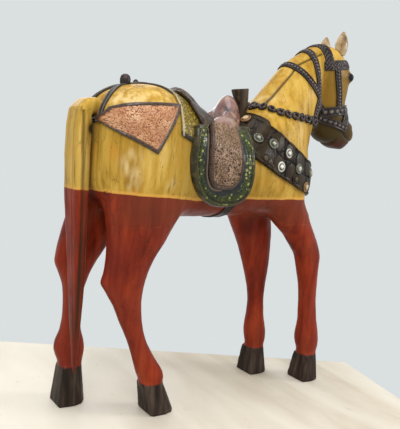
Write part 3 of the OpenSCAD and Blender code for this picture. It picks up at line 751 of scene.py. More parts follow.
def make_tail():
    """The hanging tail, with a groove along each side and two down its back."""
    mesh = remeshed(merged(["tail", "tail_peg"], 0.2 * MM), 2.4 * MM)
    smoothed(mesh, 14, 0.6)
    points = points_of(mesh)
    points[:, 2] -= 0.011 * ramp(points[:, 2], 0.570, 0.625)
    move_points(mesh, points)
    points, normals = points_of(mesh), normals_of(mesh)
    x, z = points[:, 0], points[:, 2]
    hanging = z < 0.62
    side_groove = bump(x + 0.369 - 0.04 * (0.4 - z), 0.0035)
    side_groove *= ramp(np.abs(normals[:, 1]), 0.5, 0.8) * ramp(z, 0.13, 0.2) * hanging
    rear_groove = bump(np.abs(points[:, 1]) - 0.012 - 0.01 * (z - 0.3), 0.0022)
    rear_groove *= ramp(-normals[:, 0], 0.5, 0.8) * hanging
    push_out(mesh, noise_field(points, 40, 3.0) * 0.7 - 2.4 * side_groove - 0.9 * rear_groove)
    # Painted shade: the grooves are darkened as grime together with shade, the tail's front side gets
    # dark brown together with painted shadow, and the hollow under the tail root gets a painted
    # shadow.
    ahead = ramp(x, -0.371, -0.366) * ramp(z, 0.13, 0.2) * ramp(-z, -0.625, -0.600)
    under = bump(z - 0.585, 0.012) * ramp(x, -0.376, -0.362)
    grime = 0.75 * side_groove + 0.35 * rear_groove + 0.30 * ahead + 0.85 * under
    keep_value(mesh, "grime", np.clip(grime, 0, 1))
    for name in ("hoof", "pupil", "wear"):
        keep_value(mesh, name, np.zeros(len(points)))
    add_object("carved_tail", mesh, "painted_wood", "painted_wood", "tail")


def make_ears():
    """Leaf-shaped ears, hollow in front and ridged behind."""
    for name, _ in SIDES:
        mesh = remeshed(merged([f"ear_{name}"], 0.3 * MM), 1.1 * MM)
        smoothed(mesh, 7, 0.6)
        points, normals = points_of(mesh), normals_of(mesh)
        low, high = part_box(f"ear_{name}")
        up = (points[:, 2] - low.z) / (high.z - low.z)
        across = (points[:, 1] - (low.y + high.y) / 2) / 0.010
        hollow = ramp(normals[:, 0], 0.2, 0.6) * bump(across, 1)
        hollow *= ramp(up, 0.15, 0.4) * ramp(-up, -0.95, -0.7)
        ridge = ramp(-normals[:, 0], 0.3, 0.7) * bump(across, 0.35)
        push_out(mesh, 0.8 * ridge - 5.0 * hollow)
        add_object(f"leaf_ear_{name}", mesh, "ear_tan", "painted_wood", f"ear_{name}")


# ---------------------------------------------------------------- relief laid on the figure

class Skin:
    """The carved surface, for laying straps and panels on it."""

    def __init__(self, mesh):
        bm = bmesh.new()
        bm.from_mesh(mesh)
        self.tree = BVHTree.FromBMesh(bm)
        bm.free()

    def cast(self, start, towards):
        hit = self.tree.ray_cast(start, (towards - start).normalized())[0]
        return None if hit is None else np.array(hit)

    def on_side(self, x, z, side):
        hit = self.cast(Vector((x, side * 0.4, z)), Vector((x, 0, z)))
        if hit is None:
            hit = self.tree.find_nearest(Vector((x, side * 0.012, z)))[0]
        return hit

    def side_grid(self, grid, side):
        """Surface points under a grid of [x, z] in mm; where there is none, the nearest one."""
        out = np.empty((*grid.shape[:2], 3))
        for i, row in enumerate(grid):
            for j, (x, z) in enumerate(row):
                start = Vector((x * MM, side * 0.4, z * MM))
                hit = self.tree.ray_cast(start, Vector((0, -side, 0)))[0]
                if hit is None or hit.y * side < 0:
                    hit = self.tree.find_nearest(Vector((x * MM, side * 0.03, z * MM)))[0]
                out[i, j] = hit
        return out

    def ring(self, back, front, offsets, angles):
        """Rays to the line from back to front ([x, z] mm), one row for each angle round it."""
        start = 0.5 * np.hypot(front[0] - back[0], front[1] - back[1]) + 45
        back, front = Vector((back[0], 0, back[1])) * MM, Vector((front[0], 0, front[1])) * MM
        middle, ahead = (back + front) / 2, (front - back).normalized()
        across = Vector((-ahead.z, 0, ahead.x))
        offsets = np.asarray(offsets, float)
        if offsets.ndim == 1:
            offsets = np.broadcast_to(offsets, (len(angles), len(offsets)))
        out = np.empty((*offsets.shape, 3))
        for i, a in enumerate(angles):
            away = ahead * cos(a) + Vector((0, sin(a), 0))
            for j, shift in enumerate(offsets[i]):
                base = middle + across * (shift * MM)
                hit = self.tree.ray_cast(base + away * (start * MM), -away)[0]
                out[i, j] = hit if hit is not None else base + away * 0.05
        return out

    def even_angles(self, back, front, start, end, spacing):
        """Angles that step evenly along the surface."""
        fine = np.linspace(start, end, 361)
        line = self.ring(back, front, [0.0], fine)[:, 0]
        length = np.concatenate([[0], np.cumsum(np.linalg.norm(np.diff(line, axis=0), axis=1))])
        steps = max(8, int(length[-1] / (spacing * MM)))
        return np.interp(np.linspace(0, length[-1], steps + 1), length, fine), length[-1]


def quads(*corners):
    return np.stack([c.ravel() for c in corners], 1).tolist()


def relief_mesh(base, height, sink, closed=False, outward=None, **values):
    """A closed solid on a surface grid: its top stands height (mm) over it, its underside sinks.

    The values are kept by name on the top and, repeated, on the underside.
    """
    along = np.roll(base, -1, 0) - np.roll(base, 1, 0) if closed else np.gradient(base, axis=0)
    normal = np.cross(along, np.gradient(base, axis=1))
    normal /= np.linalg.norm(normal, axis=2)[..., None] + 1e-12
    for _ in range(3):
        padded = np.pad(normal, ((1, 1), (1, 1), (0, 0)), "edge")
        if closed:
            padded[0, 1:-1], padded[-1, 1:-1] = normal[-1], normal[0]
        normal = (padded[:-2, 1:-1] + padded[2:, 1:-1] + padded[1:-1, :-2] + padded[1:-1, 2:]
                  + normal)
        normal /= np.linalg.norm(normal, axis=2)[..., None] + 1e-12
    outward = base - base.mean((0, 1)) if outward is None else outward
    if (normal * outward).sum() < 0:
        normal = -normal
    top = base + normal * (height * MM)[..., None]
    bottom = base - normal * sink * MM
    corners = np.concatenate([top.reshape(-1, 3), bottom.reshape(-1, 3)])
    size = base.shape[0] * base.shape[1]
    ids = np.arange(size).reshape(base.shape[:2])
    if closed:
        ids = np.vstack([ids, ids[:1]])
    a, b, c, d = ids[:-1, :-1], ids[1:, :-1], ids[1:, 1:], ids[:-1, 1:]
    faces = quads(a, b, c, d) + quads(d + size, c + size, b + size, a + size)
    rims = [ids[:, 0], ids[::-1, -1]]
    if not closed:
        rims += [ids[0, ::-1], ids[-1]]
    for rim in rims:
        faces += quads(rim[:-1], rim[:-1] + size, rim[1:] + size, rim[1:])
    mesh = bpy.data.meshes.new("relief")
    mesh.from_pydata(corners.tolist(), [], faces)
    mesh.validate()
    bm = bmesh.new()
    bm.from_mesh(mesh)
    bmesh.ops.recalc_face_normals(bm, faces=bm.faces)
    bm.to_mesh(mesh)
    bm.free()
    for name, value in values.items():
        keep_value(mesh, name, np.tile(np.ravel(value), 2))
    return mesh


def facing(base, axis, sign=1):
    """The same outward direction for every point of a surface grid."""
    outward = np.zeros_like(base)
    outward[..., axis] = sign
    return outward


def side_relief(grid, side, height, sink, **values):
    """A relief on one side of the figure, over a grid of [x, z] in mm."""
    base = SKIN.side_grid(grid, side)
    return relief_mesh(base, height, sink, outward=facing(base, 1, side), **values)


def joined(meshes):
    """Several closed meshes in one, with their named values kept."""
    bm = bmesh.new()
    for mesh in meshes:
        bm.from_mesh(mesh)
    out = bpy.data.meshes.new("joined")
    bm.to_mesh(out)
    bm.free()
    return out


# ---------------------------------------------------------------- straps

# Points across a strap, the mm from row to row along it, and how deep it sinks in.
STRAP_COLUMNS = 17
STRAP_STEP = 1.2
STRAP_SINK = 1.5


def cord_edge(offset, half, width):
    """Raised rolls along both edges of a strap."""
    return np.exp(-((half - np.abs(offset)) - width) ** 2 / (0.5 * width ** 2))


def strap_relief(along, offset, half, bead=8.0, thick=3.6):
    """Height in mm of a strap with rolled edges and a row of beads, and its painted light and shade
    from 0 to 1: darker between them, a painted highlight on edges and beads.
    """
    edge = cord_edge(offset, half, 1.7)
    bead_x = ((along / bead) % 1.0 - 0.5) / 0.40
    bead_y = offset / (0.50 * half)
    dome = np.sqrt(np.clip(1 - bead_x ** 2 - bead_y ** 2, 0, 1))
    return thick - 1.1 + 1.6 * edge + 2.4 * dome, 0.22 + 0.38 * edge + 0.60 * dome


def rope_relief(along, offset, half):
    """A plaited band: slanting strands that change direction at the middle."""
    pitch, thick = 9.0, 3.4
    slant = np.sin(2 * pi * (along + 1.1 * np.abs(offset)) / pitch)
    body = np.sqrt(np.clip(1 - (offset / half) ** 2, 0, 1))
    edge = cord_edge(offset, half, 1.5)
    height = thick * (0.35 + 0.75 * body) + 0.9 * slant * body + 0.6 * edge
    # Painted light and shade: lighter on one slant of each strand and on the edges.
    return height, 0.35 + 0.35 * slant + 0.2 * edge


def plain_relief(_, offset, half, thick=3.0):
    """A flat band with rolled edges, the same all along."""
    edge = cord_edge(offset, half, 1.4)
    # Painted light and shade: lighter on the rolled edges.
    return thick - 0.8 + 1.1 * edge, 0.30 + 0.45 * edge


def crupper_relief(offset, half):
    """A flat band with rolled edges and a groove along its middle."""
    edge, groove = cord_edge(offset, half, 1.5), bump(offset, 1.3)
    # Painted light and shade: lighter on the rolled edges, darker in the middle groove.
    return 3.2 + 1.4 * edge - 1.0 * groove, 0.40 + 0.40 * edge - 0.35 * groove


def ring_strap(back, front, half, relief, reach=None, **extra):
    """A strap right round the neck or head, or as many degrees to each side as it reaches."""
    end = radians(reach) if reach else pi
    angles, length = SKIN.even_angles(back, front, -end, end, STRAP_STEP)
    if not reach:
        angles = angles[:-1]
    offsets = np.linspace(-half, half, STRAP_COLUMNS)
    base = SKIN.ring(back, front, offsets, angles)
    along, offset = np.meshgrid(np.linspace(0, length / MM, len(angles)), offsets, indexing="ij")
    height, lift = relief(along, offset, half, **extra)
    return relief_mesh(base, height, STRAP_SINK, closed=not reach, lift=np.clip(lift, 0, 1))


def path_points(path, spacing):
    """Even points along a path, rounded at its corners, and their distances along it."""
    path = np.array(path, float)
    for _ in range(3):
        cut = np.empty((2 * len(path) - 2, 2))
        cut[0::2] = 0.75 * path[:-1] + 0.25 * path[1:]
        cut[1::2] = 0.25 * path[:-1] + 0.75 * path[1:]
        path = np.vstack([path[:1], cut, path[-1:]])
    length = run_length(path)
    where = np.linspace(0, length[-1], max(4, int(length[-1] / spacing)) + 1)
    return even_points(path, length, where), where


def strap_grid(path, half):
    """A grid across a path, with each point's distance along it and from it."""
    line, where = path_points(path, STRAP_STEP)
    ahead = np.gradient(line, axis=0)
    ahead /= np.linalg.norm(ahead, axis=1)[:, None]
    across = np.stack([-ahead[:, 1], ahead[:, 0]], 1)
    offsets = np.linspace(-half, half, STRAP_COLUMNS)
    grid = line[:, None] + across[:, None] * offsets[None, :, None]
    return grid, *np.meshgrid(where, offsets, indexing="ij")


def side_straps(path, half, relief, **extra):
    """A strap along a path of [x, z] in mm, on both sides."""
    grid, along, offset = strap_grid(path, half)
    height, lift = relief(along, offset, half, **extra)
    return joined([side_relief(grid, side, height, STRAP_SINK, lift=np.clip(lift, 0, 1))
                   for _, side in SIDES])


def top_straps(path, half):
    """A strap on the top of the rump, along a path of [x, y] in mm and its mirror image."""
    meshes = []
    for _, side in SIDES:
        grid, _, offset = strap_grid([(x, side * y) for x, y in path], half)
        base = np.empty((*grid.shape[:2], 3))
        for i, j in np.ndindex(*grid.shape[:2]):
            x, y = grid[i, j] * MM
            hit = SKIN.tree.ray_cast(Vector((x, y, 1.0)), Vector((0, 0, -1)))[0]
            if hit is None or hit.z < RUMP_EDGE:
                hit = SKIN.tree.find_nearest(Vector((x, y, RUMP_EDGE)))[0]
            base[i, j] = hit
        height, lift = crupper_relief(offset, half)
        meshes.append(relief_mesh(base, height, STRAP_SINK, outward=facing(base, 2), lift=lift))
    return joined(meshes)


# ---------------------------------------------------------------- outlines filled with a grid

def slice_outline(outline, axis, spacing, fine, squeeze=False):
    """A grid of [x, z] that fills an outline, in slices along one axis."""
    outline = np.array(outline, float)
    low, high = outline[:, axis].min() + 0.15, outline[:, axis].max() - 0.15
    count = int((high - low) / spacing) + 2
    t = np.linspace(0, 1, count)
    levels = low + (high - low) * (1 - np.cos(t * pi / 2) if squeeze else t)
    corners = [c for c in outline[:, axis] if low < c < high]
    levels = np.unique(np.concatenate([levels, [] if squeeze else corners]))
    other = 1 - axis
    rows = []
    following = np.roll(outline, -1, 0)
    for level in levels:
        a, b = outline[:, axis], following[:, axis]
        crossing = (a - level) * (b - level) <= 0
        t = (level - a[crossing]) / np.where(b[crossing] == a[crossing], 1, b[crossing] - a[crossing])
        hits = outline[crossing, other] + t * (following[crossing, other] - outline[crossing, other])
        run = np.linspace(hits.min(), hits.max(), fine)
        pair = np.empty((fine, 2))
        pair[:, axis], pair[:, other] = level, run
        rows.append(pair)
    return np.array(rows)


def edge_distance(grid, outline):
    path = [tuple(p) for p in outline] + [tuple(outline[0])]
    return path_distance(grid.reshape(-1, 2), path).reshape(grid.shape[:2])


def inside_outline(grid, outline):
    flat = grid.reshape(-1, 2)
    inside = np.zeros(len(flat), bool)
    following = np.roll(outline, -1, 0)
    for (ax, az), (bx, bz) in zip(outline, following):
        spans = (az > flat[:, 1]) != (bz > flat[:, 1])
        if bz != az:
            cross = ax + (flat[:, 1] - az) * (bx - ax) / (bz - az)
            inside ^= spans & (flat[:, 0] < cross)
    return inside.reshape(grid.shape[:2])


def rounded_drop(middle, width, top, bottom, power, lean=0.0):
    """Straight top and a rounded lower end that leans forward."""
    r, depth = width / 2, 0.62 * (top - bottom)
    shoulder = bottom + depth
    turn = np.linspace(pi, 2 * pi, 61)
    c, s = np.cos(turn), np.sin(turn)
    fall = np.abs(s) ** (2 / power)
    low = np.stack([middle + r * np.sign(c) * np.abs(c) ** (2 / power) + lean * fall ** 2,
                    shoulder - depth * fall], 1)
    return np.vstack([[(middle + 1.12 * r, top), (middle - 0.92 * r, top)], low])


def vermicular(grid, side, scale, seed):
    """Winding carved ridges, 0 in the channels and 1 on the ridges."""
    warp_scale = 14
    raw = []
    for x, z in grid.reshape(-1, 2):
        warp = noise.noise((x / warp_scale + seed, z / warp_scale, side))
        raw.append(noise.noise((x / scale + seed + 1.1 * warp, z / scale - 0.9 * warp, 2.0 * side)))
    return ramp(np.abs(raw), 0.02, 0.12).reshape(grid.shape[:2])


# ---------------------------------------------------------------- saddle

# Middle, width, roundness and lean of the flap's and the panel's outlines, in mm.
FLAP = dict(middle=-103, width=168, power=2.5, lean=20)
PANEL = dict(middle=-106, width=88, power=3.4)
# The flap's padding stands this proud (mm); the panel lies on it.
PAD = 15
# Height (mm) above which the flap lies under the saddle and has no rolled rim.
FLAP_TUCKED = (601, 605)


def drop_outline(node, middle, width, power, lean=0.0):
    low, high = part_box(node)
    return rounded_drop(middle, width, high.z / MM, low.z / MM, power, lean)


def make_flaps():
    """Padded flaps with a rolled rim and painted border."""
    outer, inner = drop_outline("saddle_flap_right", **FLAP), drop_outline("flap_panel_right", **PANEL)
    grid = slice_outline(outer, 1, 1.6, 110, squeeze=True)
    rim, frame_edge = edge_distance(grid, outer), edge_distance(grid, inner)
    inside = inside_outline(grid, inner)
    ring = np.where(inside, 1, np.clip(rim / (rim + frame_edge + 1e-6), 0, 1))
    rim_side = np.where(ramp(grid[..., 1], *FLAP_TUCKED) > 0.5, 30, rim)
    crown = PAD * np.sqrt(np.clip(1 - (1 - np.clip(rim_side / 11, 0, 1)) ** 2, 0.02, 1))
    groove = bump(rim_side - 13.5, 1.6)
    flowers = [noise.noise((x / 5.0, z / 5.0, 4.0)) for x, z in grid.reshape(-1, 2)]
    flowers = ramp(np.array(flowers).reshape(ring.shape), 0.02, 0.35)
    border = ramp(ring, 0.26, 0.32) * ramp(-ring, -0.72, -0.62)
    height = crown - 1.6 * groove - 1.6 * ramp(ring, 0.24, 0.32) + 1.5 * flowers * border
    # A pale line just outside the panel's frame, on its rear side only, is a painted highlight; the
    # groove round the rim is darkened as grime together with painted shade.
    trim = bump(frame_edge - 3.0, 1.2) * (grid[..., 0] < PANEL["middle"]) * ~inside
    for name, side in SIDES:
        mesh = side_relief(grid, side, height, 1.0, ring=ring, trim=trim, grime=groove * 0.9)
        add_object(f"padded_flap_{name}", mesh, "flap_green", "flap_green", f"saddle_flap_{name}")
        add_object(f"framed_panel_{name}", panel_mesh(inner, side), "panel_rose", "panel_rose",
                   f"flap_panel_{name}")


def panel_mesh(outline, side):
    """The raised panel: a winding pattern in a rounded frame that is open at the top."""
    grid = slice_outline(outline, 1, 0.9, 96, squeeze=True)
    x, z = grid[..., 0], grid[..., 1]
    sides_and_foot = np.vstack([outline[1:], outline[:1]])
    depth = path_distance(grid.reshape(-1, 2), sides_and_foot).reshape(x.shape)
    bar = 5.0 + 2.0 * ramp(-x, 120, 138) + 3.0 * ramp(-z, -506, -494)
    border = ramp(bar - depth, -0.8, 0.8)
    roll = np.sqrt(np.clip(1 - ((depth - bar / 2) / (bar / 2 + 0.6)) ** 2, 0, 1))
    worm = vermicular(grid, side, 3.8, 3.0)
    height = PAD + 8.0 * roll * border + (1 - border) * (4.2 + 2.0 * worm)
    # Painted light and shade: lighter on the winding ridges, darker in the channels between them.
    lift = (1 - border) * (0.08 + 0.68 * worm)
    return side_relief(grid, side, height, 2 - PAD, lift=lift, frame=border)


def make_saddle():
    """Seat, pommel and horn, smoothed from their CAD shapes, the wooden ones with a grain."""
    # Name, material, slot, voxel size in mm and smoothing passes.
    for name, material, slot, voxel, passes in (
            ("saddle_seat", "saddle_brown", "saddle_brown", 2.0, 16),
            ("saddle_pommel", "pommel_rose", "pommel_rose", 2.0, 60),
            ("saddle_horn", "horn_brown", "saddle_brown", 1.4, 4)):
        pegs = ["saddle_pegs"] if name == "saddle_seat" else []
        mesh = remeshed(merged([name] + pegs, 0.3 * MM), voxel * MM)
        smoothed(mesh, passes, 0.7)
        points = points_of(mesh)
        push = 0.35 * noise_field(points, 60, 2.0)
        if name != "saddle_pommel":
            push += 0.45 * noise_field(points * [1, 1, 0.06], 420, 8.0)
        push_out(mesh, push)
        add_object(f"carved_{name}", mesh, material, slot, name)


# Height of the barrel's axis, round which cloth and girth are laid.
BARREL_AXIS = 0.54


def make_cloth():
    """The saddle cloth lies over the back, with a piped rear edge and a dark lower edge."""
    low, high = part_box("saddle_cloth")
    turns = 260
    xs = np.linspace(low.x, high.x, 110)
    base = np.empty((len(xs), turns, 3))
    for i, x in enumerate(xs):
        edge_z = np.interp(x, [low.x, low.x + 0.034, high.x], [0.585, 0.571, 0.571])
        lowest = np.arctan2(edge_z - BARREL_AXIS, 0.118)
        for j, a in enumerate(np.linspace(lowest, pi - lowest, turns)):
            away = Vector((0, -cos(a), sin(a)))
            base[i, j] = SKIN.tree.ray_cast(Vector((x, 0, BARREL_AXIS)) + away * 0.4, -away)[0]
    from_rear = ((xs - low.x) / MM)[:, None] * np.ones(turns)
    run = np.array([run_length(line) for line in base]) / MM
    from_foot = np.minimum(run, run[:, -1:] - run)
    piping = bump(from_rear - 3, 2.0)
    foot = ramp(-from_foot, -10, -7) * (1 - piping)
    strap = np.exp(-((from_rear - 44) / 11) ** 4)
    height = 3.6 + 1.5 * piping + 1.2 * foot + 1.0 * strap
    # The piping stands proud, and its pale colour is a painted highlight; the foot is the cloth's dark
    # lower edge.
    mesh = relief_mesh(base, height, 1.0, trim=piping, grime=foot)
    add_object("draped_saddle_cloth", mesh, "cloth_yellow", "cloth_yellow", "saddle_cloth")


def make_girth():
    """The girth passes under the barrel from flap to flap."""
    low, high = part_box("girth")
    x, half = (low.x + high.x) / 2, (high.x - low.x) / 2 / MM
    rise = np.arctan2(BARREL_AXIS - high.z, 0.10)
    angles = np.linspace(rise, pi - rise, 180)
    offsets = np.linspace(-half, half, STRAP_COLUMNS)
    base = np.empty((len(angles), len(offsets), 3))
    for i, a in enumerate(angles):
        away = Vector((0, -cos(a), -sin(a)))
        for j, shift in enumerate(offsets):
            start = Vector((x + shift * MM, 0, BARREL_AXIS))
            base[i, j] = SKIN.tree.ray_cast(start + away * 0.4, -away)[0]
    along, offset = np.meshgrid(angles, offsets, indexing="ij")
    height, lift = plain_relief(along, offset, half)
    add_object("girth_strap", relief_mesh(base, height, 1.2, lift=lift), "strap_dark",
               "flap_green", "girth")


# ---------------------------------------------------------------- rump and crupper

# Outline of the rump panel, as [x, z] in mm; its tip reaches round to the tail.
RUMP = [(-350, 602), (-347, 611), (-336, 628), (-320, 635), (-300, 639), (-275, 642), (-250, 644),
        (-225, 645), (-203, 645), (-260, 546), (-327, 577), (-342, 588)]
# Where the top of the rump ends at the tail.
RUMP_EDGE = 0.61
# Half width of the crupper's straps, and their ways from the knob as [x, y] in mm.
CRUPPER_HALF = 7.2
TAIL_WAY = [(-300, 12), (-318, 28), (-332, 36), (-347, 40)]
SADDLE_WAY = [(-246, 10), (-224, 38), (-205, 72)]


def make_rump_panels():
    """Triangular panels with a winding pattern in a rounded frame that narrows to the tip."""
    grid = slice_outline(RUMP, 0, 1.1, 84)
    edge = edge_distance(grid, RUMP)
    bar = 2.6 + 4.4 * ramp(grid[..., 0], -346, -318)
    border = ramp(bar - edge, -0.4, 0.9)
    roll = np.sqrt(np.clip(1 - ((edge - bar / 2) / (bar / 2 + 0.4)) ** 2, 0, 1))
    swell = np.clip(edge / 30, 0, 1)
    for name, side in SIDES:
        worm = vermicular(grid, side, 3.8, 11.0)
        height = 1.0 + 4.2 * roll * border + (1 - border) * (1.2 + 1.7 * worm + swell)
        # Painted light and shade: lighter on the winding ridges, darker in the channels between them.
        lift = (1 - border) * (0.24 + 0.55 * worm)
        mesh = side_relief(grid, side, height, 1.0, lift=lift, frame=border)
        add_object(f"rump_ornament_{name}", mesh, "rump_copper", "rump_copper",
                   f"rump_panel_{name}")


def stacked_mesh(points, lift):
    """A solid closed round a stack of rings of points."""
    points = np.array(points)
    ids = np.arange(points.shape[0] * points.shape[1]).reshape(points.shape[:2])
    ids = np.hstack([ids, ids[:, :1]])
    faces = quads(ids[:-1, :-1], ids[:-1, 1:], ids[1:, 1:], ids[1:, :-1])
    faces += [ids[0, -2::-1].tolist(), ids[-1, :-1].tolist()]
    mesh = bpy.data.meshes.new("stack")
    mesh.from_pydata(points.reshape(-1, 3).tolist(), [], faces)
    keep_value(mesh, "lift", lift)
    return mesh


def lathe(profile, centre, lobes=0):
    """A turned shape from [radius, height] in mm; lobes make it a knop with flutes."""
    turns = 2 * pi * np.arange(28) / 28
    wave = 1 + 0.07 * np.cos(lobes * turns) if lobes else np.ones(28)
    circle = np.stack([wave * np.cos(turns), wave * np.sin(turns), np.zeros(28)], 1)
    points = [np.array(centre) + (circle * r + [0, 0, h]) * MM for r, h in profile]
    # Painted light and shade: darker at the foot, lighter towards the top.
    return stacked_mesh(points, np.repeat(np.linspace(0.15, 0.55, len(profile)), 28))


def crupper_place(node):
    """The middle of a crupper piece on the rump, and how high (mm) the CAD piece stands there."""
    low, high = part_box(node)
    x = (low.x + high.x) / 2
    base = SKIN.cast(Vector((x, 0, 1)), Vector((x, 0, 0.5)))
    return base, (high.z - base[2]) / MM


def make_crupper():
    """The knob and its stud, the straps to both sides of the tail, and those to the saddle."""
    base, top = crupper_place("crupper_knob")
    start = base[0] / MM - 2
    top -= 6
    profile = [(5, -6), (12.0, -2), (12.0, 2.5), (10.5, 4.2), (7.0, 5.6), (7.6, 7),
               (10.4, 0.52 * top), (10.8, 0.70 * top), (9.0, 0.88 * top), (5.2, 0.97 * top),
               (1.5, top)]
    add_object("crupper_knop", lathe(profile, base, lobes=8), "strap_dark", "strap_dark",
               "crupper_knob")
    base, top = crupper_place("crupper_stud")
    top -= 2
    profile = [(6, -2), (6.2, 0.3 * top), (5.2, 0.65 * top), (3, 0.9 * top), (0.8, top)]
    add_object("crupper_button", lathe(profile, base), "strap_dark", "strap_dark", "crupper_stud")
    add_object("crupper_straps", top_straps([(start, 4)] + TAIL_WAY, CRUPPER_HALF),
               "crupper_grey", "strap_dark", "crupper_strap")
    add_object("spine_band", top_straps([(start + 12, 0)] + SADDLE_WAY, CRUPPER_HALF),
               "crupper_grey", "strap_dark", "spine_strap")


# ---------------------------------------------------------------- breast collar

# The line round which the collar is laid, as [x, z] in mm, and how far it goes to each side.
COLLAR_BACK, COLLAR_FRONT = (-18, 607), (268, 500)
COLLAR_REACH = radians(158)
# Length in mm of the plates, of which the two rows are shifted by half a plate.
PLATE = 44.0
# Studs on the collar's side: place as [x, z] and size in mm, form and material.
STUDS = [
    ((13, 633), 13, "rosette", "boss_gold"), ((4, 592), 12, "kite", "boss_silver_green"),
    ((38, 584), 12, "kite", "boss_silver_green"), ((82, 567), 11, "kite", "boss_bright"),
    ((120, 535), 12, "facet", "boss_silver_green"),
    ((176, 526), 12, "rosette", "boss_silver_green"), ((10, 552), 11, "rosette", "collar_brown"),
    ((58, 537), 12, "kite", "boss_bright"), ((110, 512), 11, "facet", "collar_brown"),
    ((156, 494), 12, "facet", "boss_gold")]
# Studs on the breast: angle from straight ahead and height (mm) on the collar.
FRONT_STUDS = [(0.0, 14), (0.0, -18), (0.36, -16), (-0.36, -16), (0.30, 14), (-0.30, 14)]


def make_collar():
    """Two rows of overlapping plates between rolled edges, all round the breast."""
    angles, _ = SKIN.even_angles(COLLAR_BACK, COLLAR_FRONT, -COLLAR_REACH, COLLAR_REACH, 1.7)
    columns = 64
    spread = np.abs(angles) / COLLAR_REACH
    half_low = np.interp(spread, [0, 0.45, 1], [35, 37, 47])[:, None]
    half_high = np.interp(spread, [0, 0.45, 1], [33, 36, 46])[:, None]
    sag = np.interp(spread, [0, 0.45, 0.75, 1], [-12, -21, -16, 0])[:, None]
    offsets = -half_low + (half_high + half_low) * np.linspace(0, 1, columns)
    base = SKIN.ring(COLLAR_BACK, COLLAR_FRONT, offsets + sag, angles)
    along = run_length(base[:, columns // 2]) / MM
    along = (along - along[-1] / 2)[:, None] * np.ones(columns)
    roll = bump(np.minimum(offsets + half_low, half_high - offsets) - 2.6, 2.2)
    upper = offsets > 0
    cell = np.abs(((np.abs(along) + np.where(upper, 0, PLATE / 2)) / PLATE) % 1.0 - 0.5) * PLATE
    row_middle = np.where(upper, half_high * 0.5, -half_low * 0.5)
    scallop = cell + 0.020 * (offsets - row_middle) ** 2
    seam = np.maximum(bump(PLATE / 2 - scallop - 1.5, 1.7),
                      bump(offsets - 3 * np.cos(along * pi / PLATE), 1.6))
    bulge = np.clip(1 - scallop / (PLATE / 2), 0, 1)
    height = 5.4 + 2.0 * roll + 2.2 * bulge - 2.6 * seam * (1 - roll)
    # Painted light and shade: lighter on the rolled edges and the plates' swell, darker in the seams.
    lift = np.clip(0.34 + 0.20 * roll + 0.28 * bulge - 0.40 * seam, 0, 1)
    band = relief_mesh(base, height, 2.0, lift=lift)
    ends = [collar_end(side) for _, side in SIDES]
    add_object("scalloped_collar", joined([band] + ends), "collar_brown", "strap_dark",
               "breast_collar")


def collar_end(side):
    """The collar's broad upper end, which runs up over the withers under the pommel."""
    xs = np.linspace(-23, 44, 52)
    columns = 48
    base = np.empty((len(xs), columns, 3))
    for i, x in enumerate(xs):
        lowest = np.interp(x, [-22, 24, 76], [562, 536, 509]) * MM
        highest = np.interp(x, [-14, 30, 65], [664, 649, 613]) * MM
        middle = Vector((x, 0, 540)) * MM
        hits = []
        for a in np.linspace(-0.1, radians(88), 120):
            away = Vector((0, side * cos(a), sin(a)))
            hits.append(SKIN.tree.ray_cast(middle + away * 0.4, -away)[0])
        line = np.array([hit for hit in hits if lowest < hit.z < highest])
        length = run_length(line)
        base[i] = even_points(line, length, np.linspace(0, length[-1], columns))
    along, across = np.meshgrid(xs, np.linspace(0, 1, columns), indexing="ij")
    edge = bump(np.minimum(across, 1 - across) - 0.04, 0.035)
    seam = np.maximum(bump(across - 0.52 - 0.04 * np.cos(along / 7), 0.025),
                      bump(along - 2 - 16 * np.abs(across - 0.5), 1.7))
    height = 5.0 + 1.6 * edge - 2.2 * seam * (1 - edge)
    # Painted light and shade: lighter on the edges, darker in the seams.
    lift = np.clip(0.48 + 0.15 * edge - 0.40 * seam, 0, 1)
    return relief_mesh(base, height, 2.0, lift=lift)


def stud_mesh(place, outward, size, kind):
    """A carved stud: a ring with a many-petalled, kite-shaped or faceted middle."""
    # Radius as a share of the size, height in mm and painted light and shade (darkest in the groove, a
    # painted highlight on the dome), from the rim to the middle.
    rings = [(1.00, -4.0, 0.1), (1.00, 0.8, 0.25), (0.92, 2.0, 0.62), (0.78, 2.0, 0.5),
             (0.70, 1.0, 0.05), (0.64, 2.2, 0.5), (0.50, 4.2, 0.75), (0.30, 5.6, 0.95),
             (0.10, 6.0, 0.85)]
    outward = Vector(outward).normalized()
    turned = np.array(outward.to_track_quat("Z", "Y").to_matrix())
    a = 2 * pi * np.arange(32) / 32
    points, lift = [], []
    for r, h, shade in rings:
        form, rise = np.ones(32), np.zeros(32)
        if kind == "rosette" and r < 0.95:
            form = 0.94 + 0.12 * np.abs(np.cos(4 * a))
            rise = 0.6 * np.cos(8 * a) * (1 - r)
        if kind == "kite" and r < 0.75:
            form = 0.78 / (np.abs(np.cos(a)) + np.abs(np.sin(a))) ** 0.9
        if kind == "facet" and r < 0.75:
            form = cos(pi / 6) / np.cos((a + pi / 6) % (pi / 3) - pi / 6)
        local = np.stack([r * form * size * np.cos(a), r * form * size * np.sin(a), h + rise], 1)
        points.append(np.array(place) + local @ turned.T * MM)
        # The petals' ridges get a little more painted highlight.
        lift.append(shade + 0.15 * rise)
    return stacked_mesh(points, lift)


def surface_frame(place):
    """Nearest surface point and a smooth outward direction there."""
    hit, normal = SKIN.tree.find_nearest(Vector(place))[:2]
    around = [SKIN.tree.find_nearest(Vector(place) + Vector(d) * 0.008)[1]
              for d in ((1, 0, 0), (-1, 0, 0), (0, 0, 1), (0, 0, -1))]
    return hit, (normal + sum(around, Vector())).normalized()


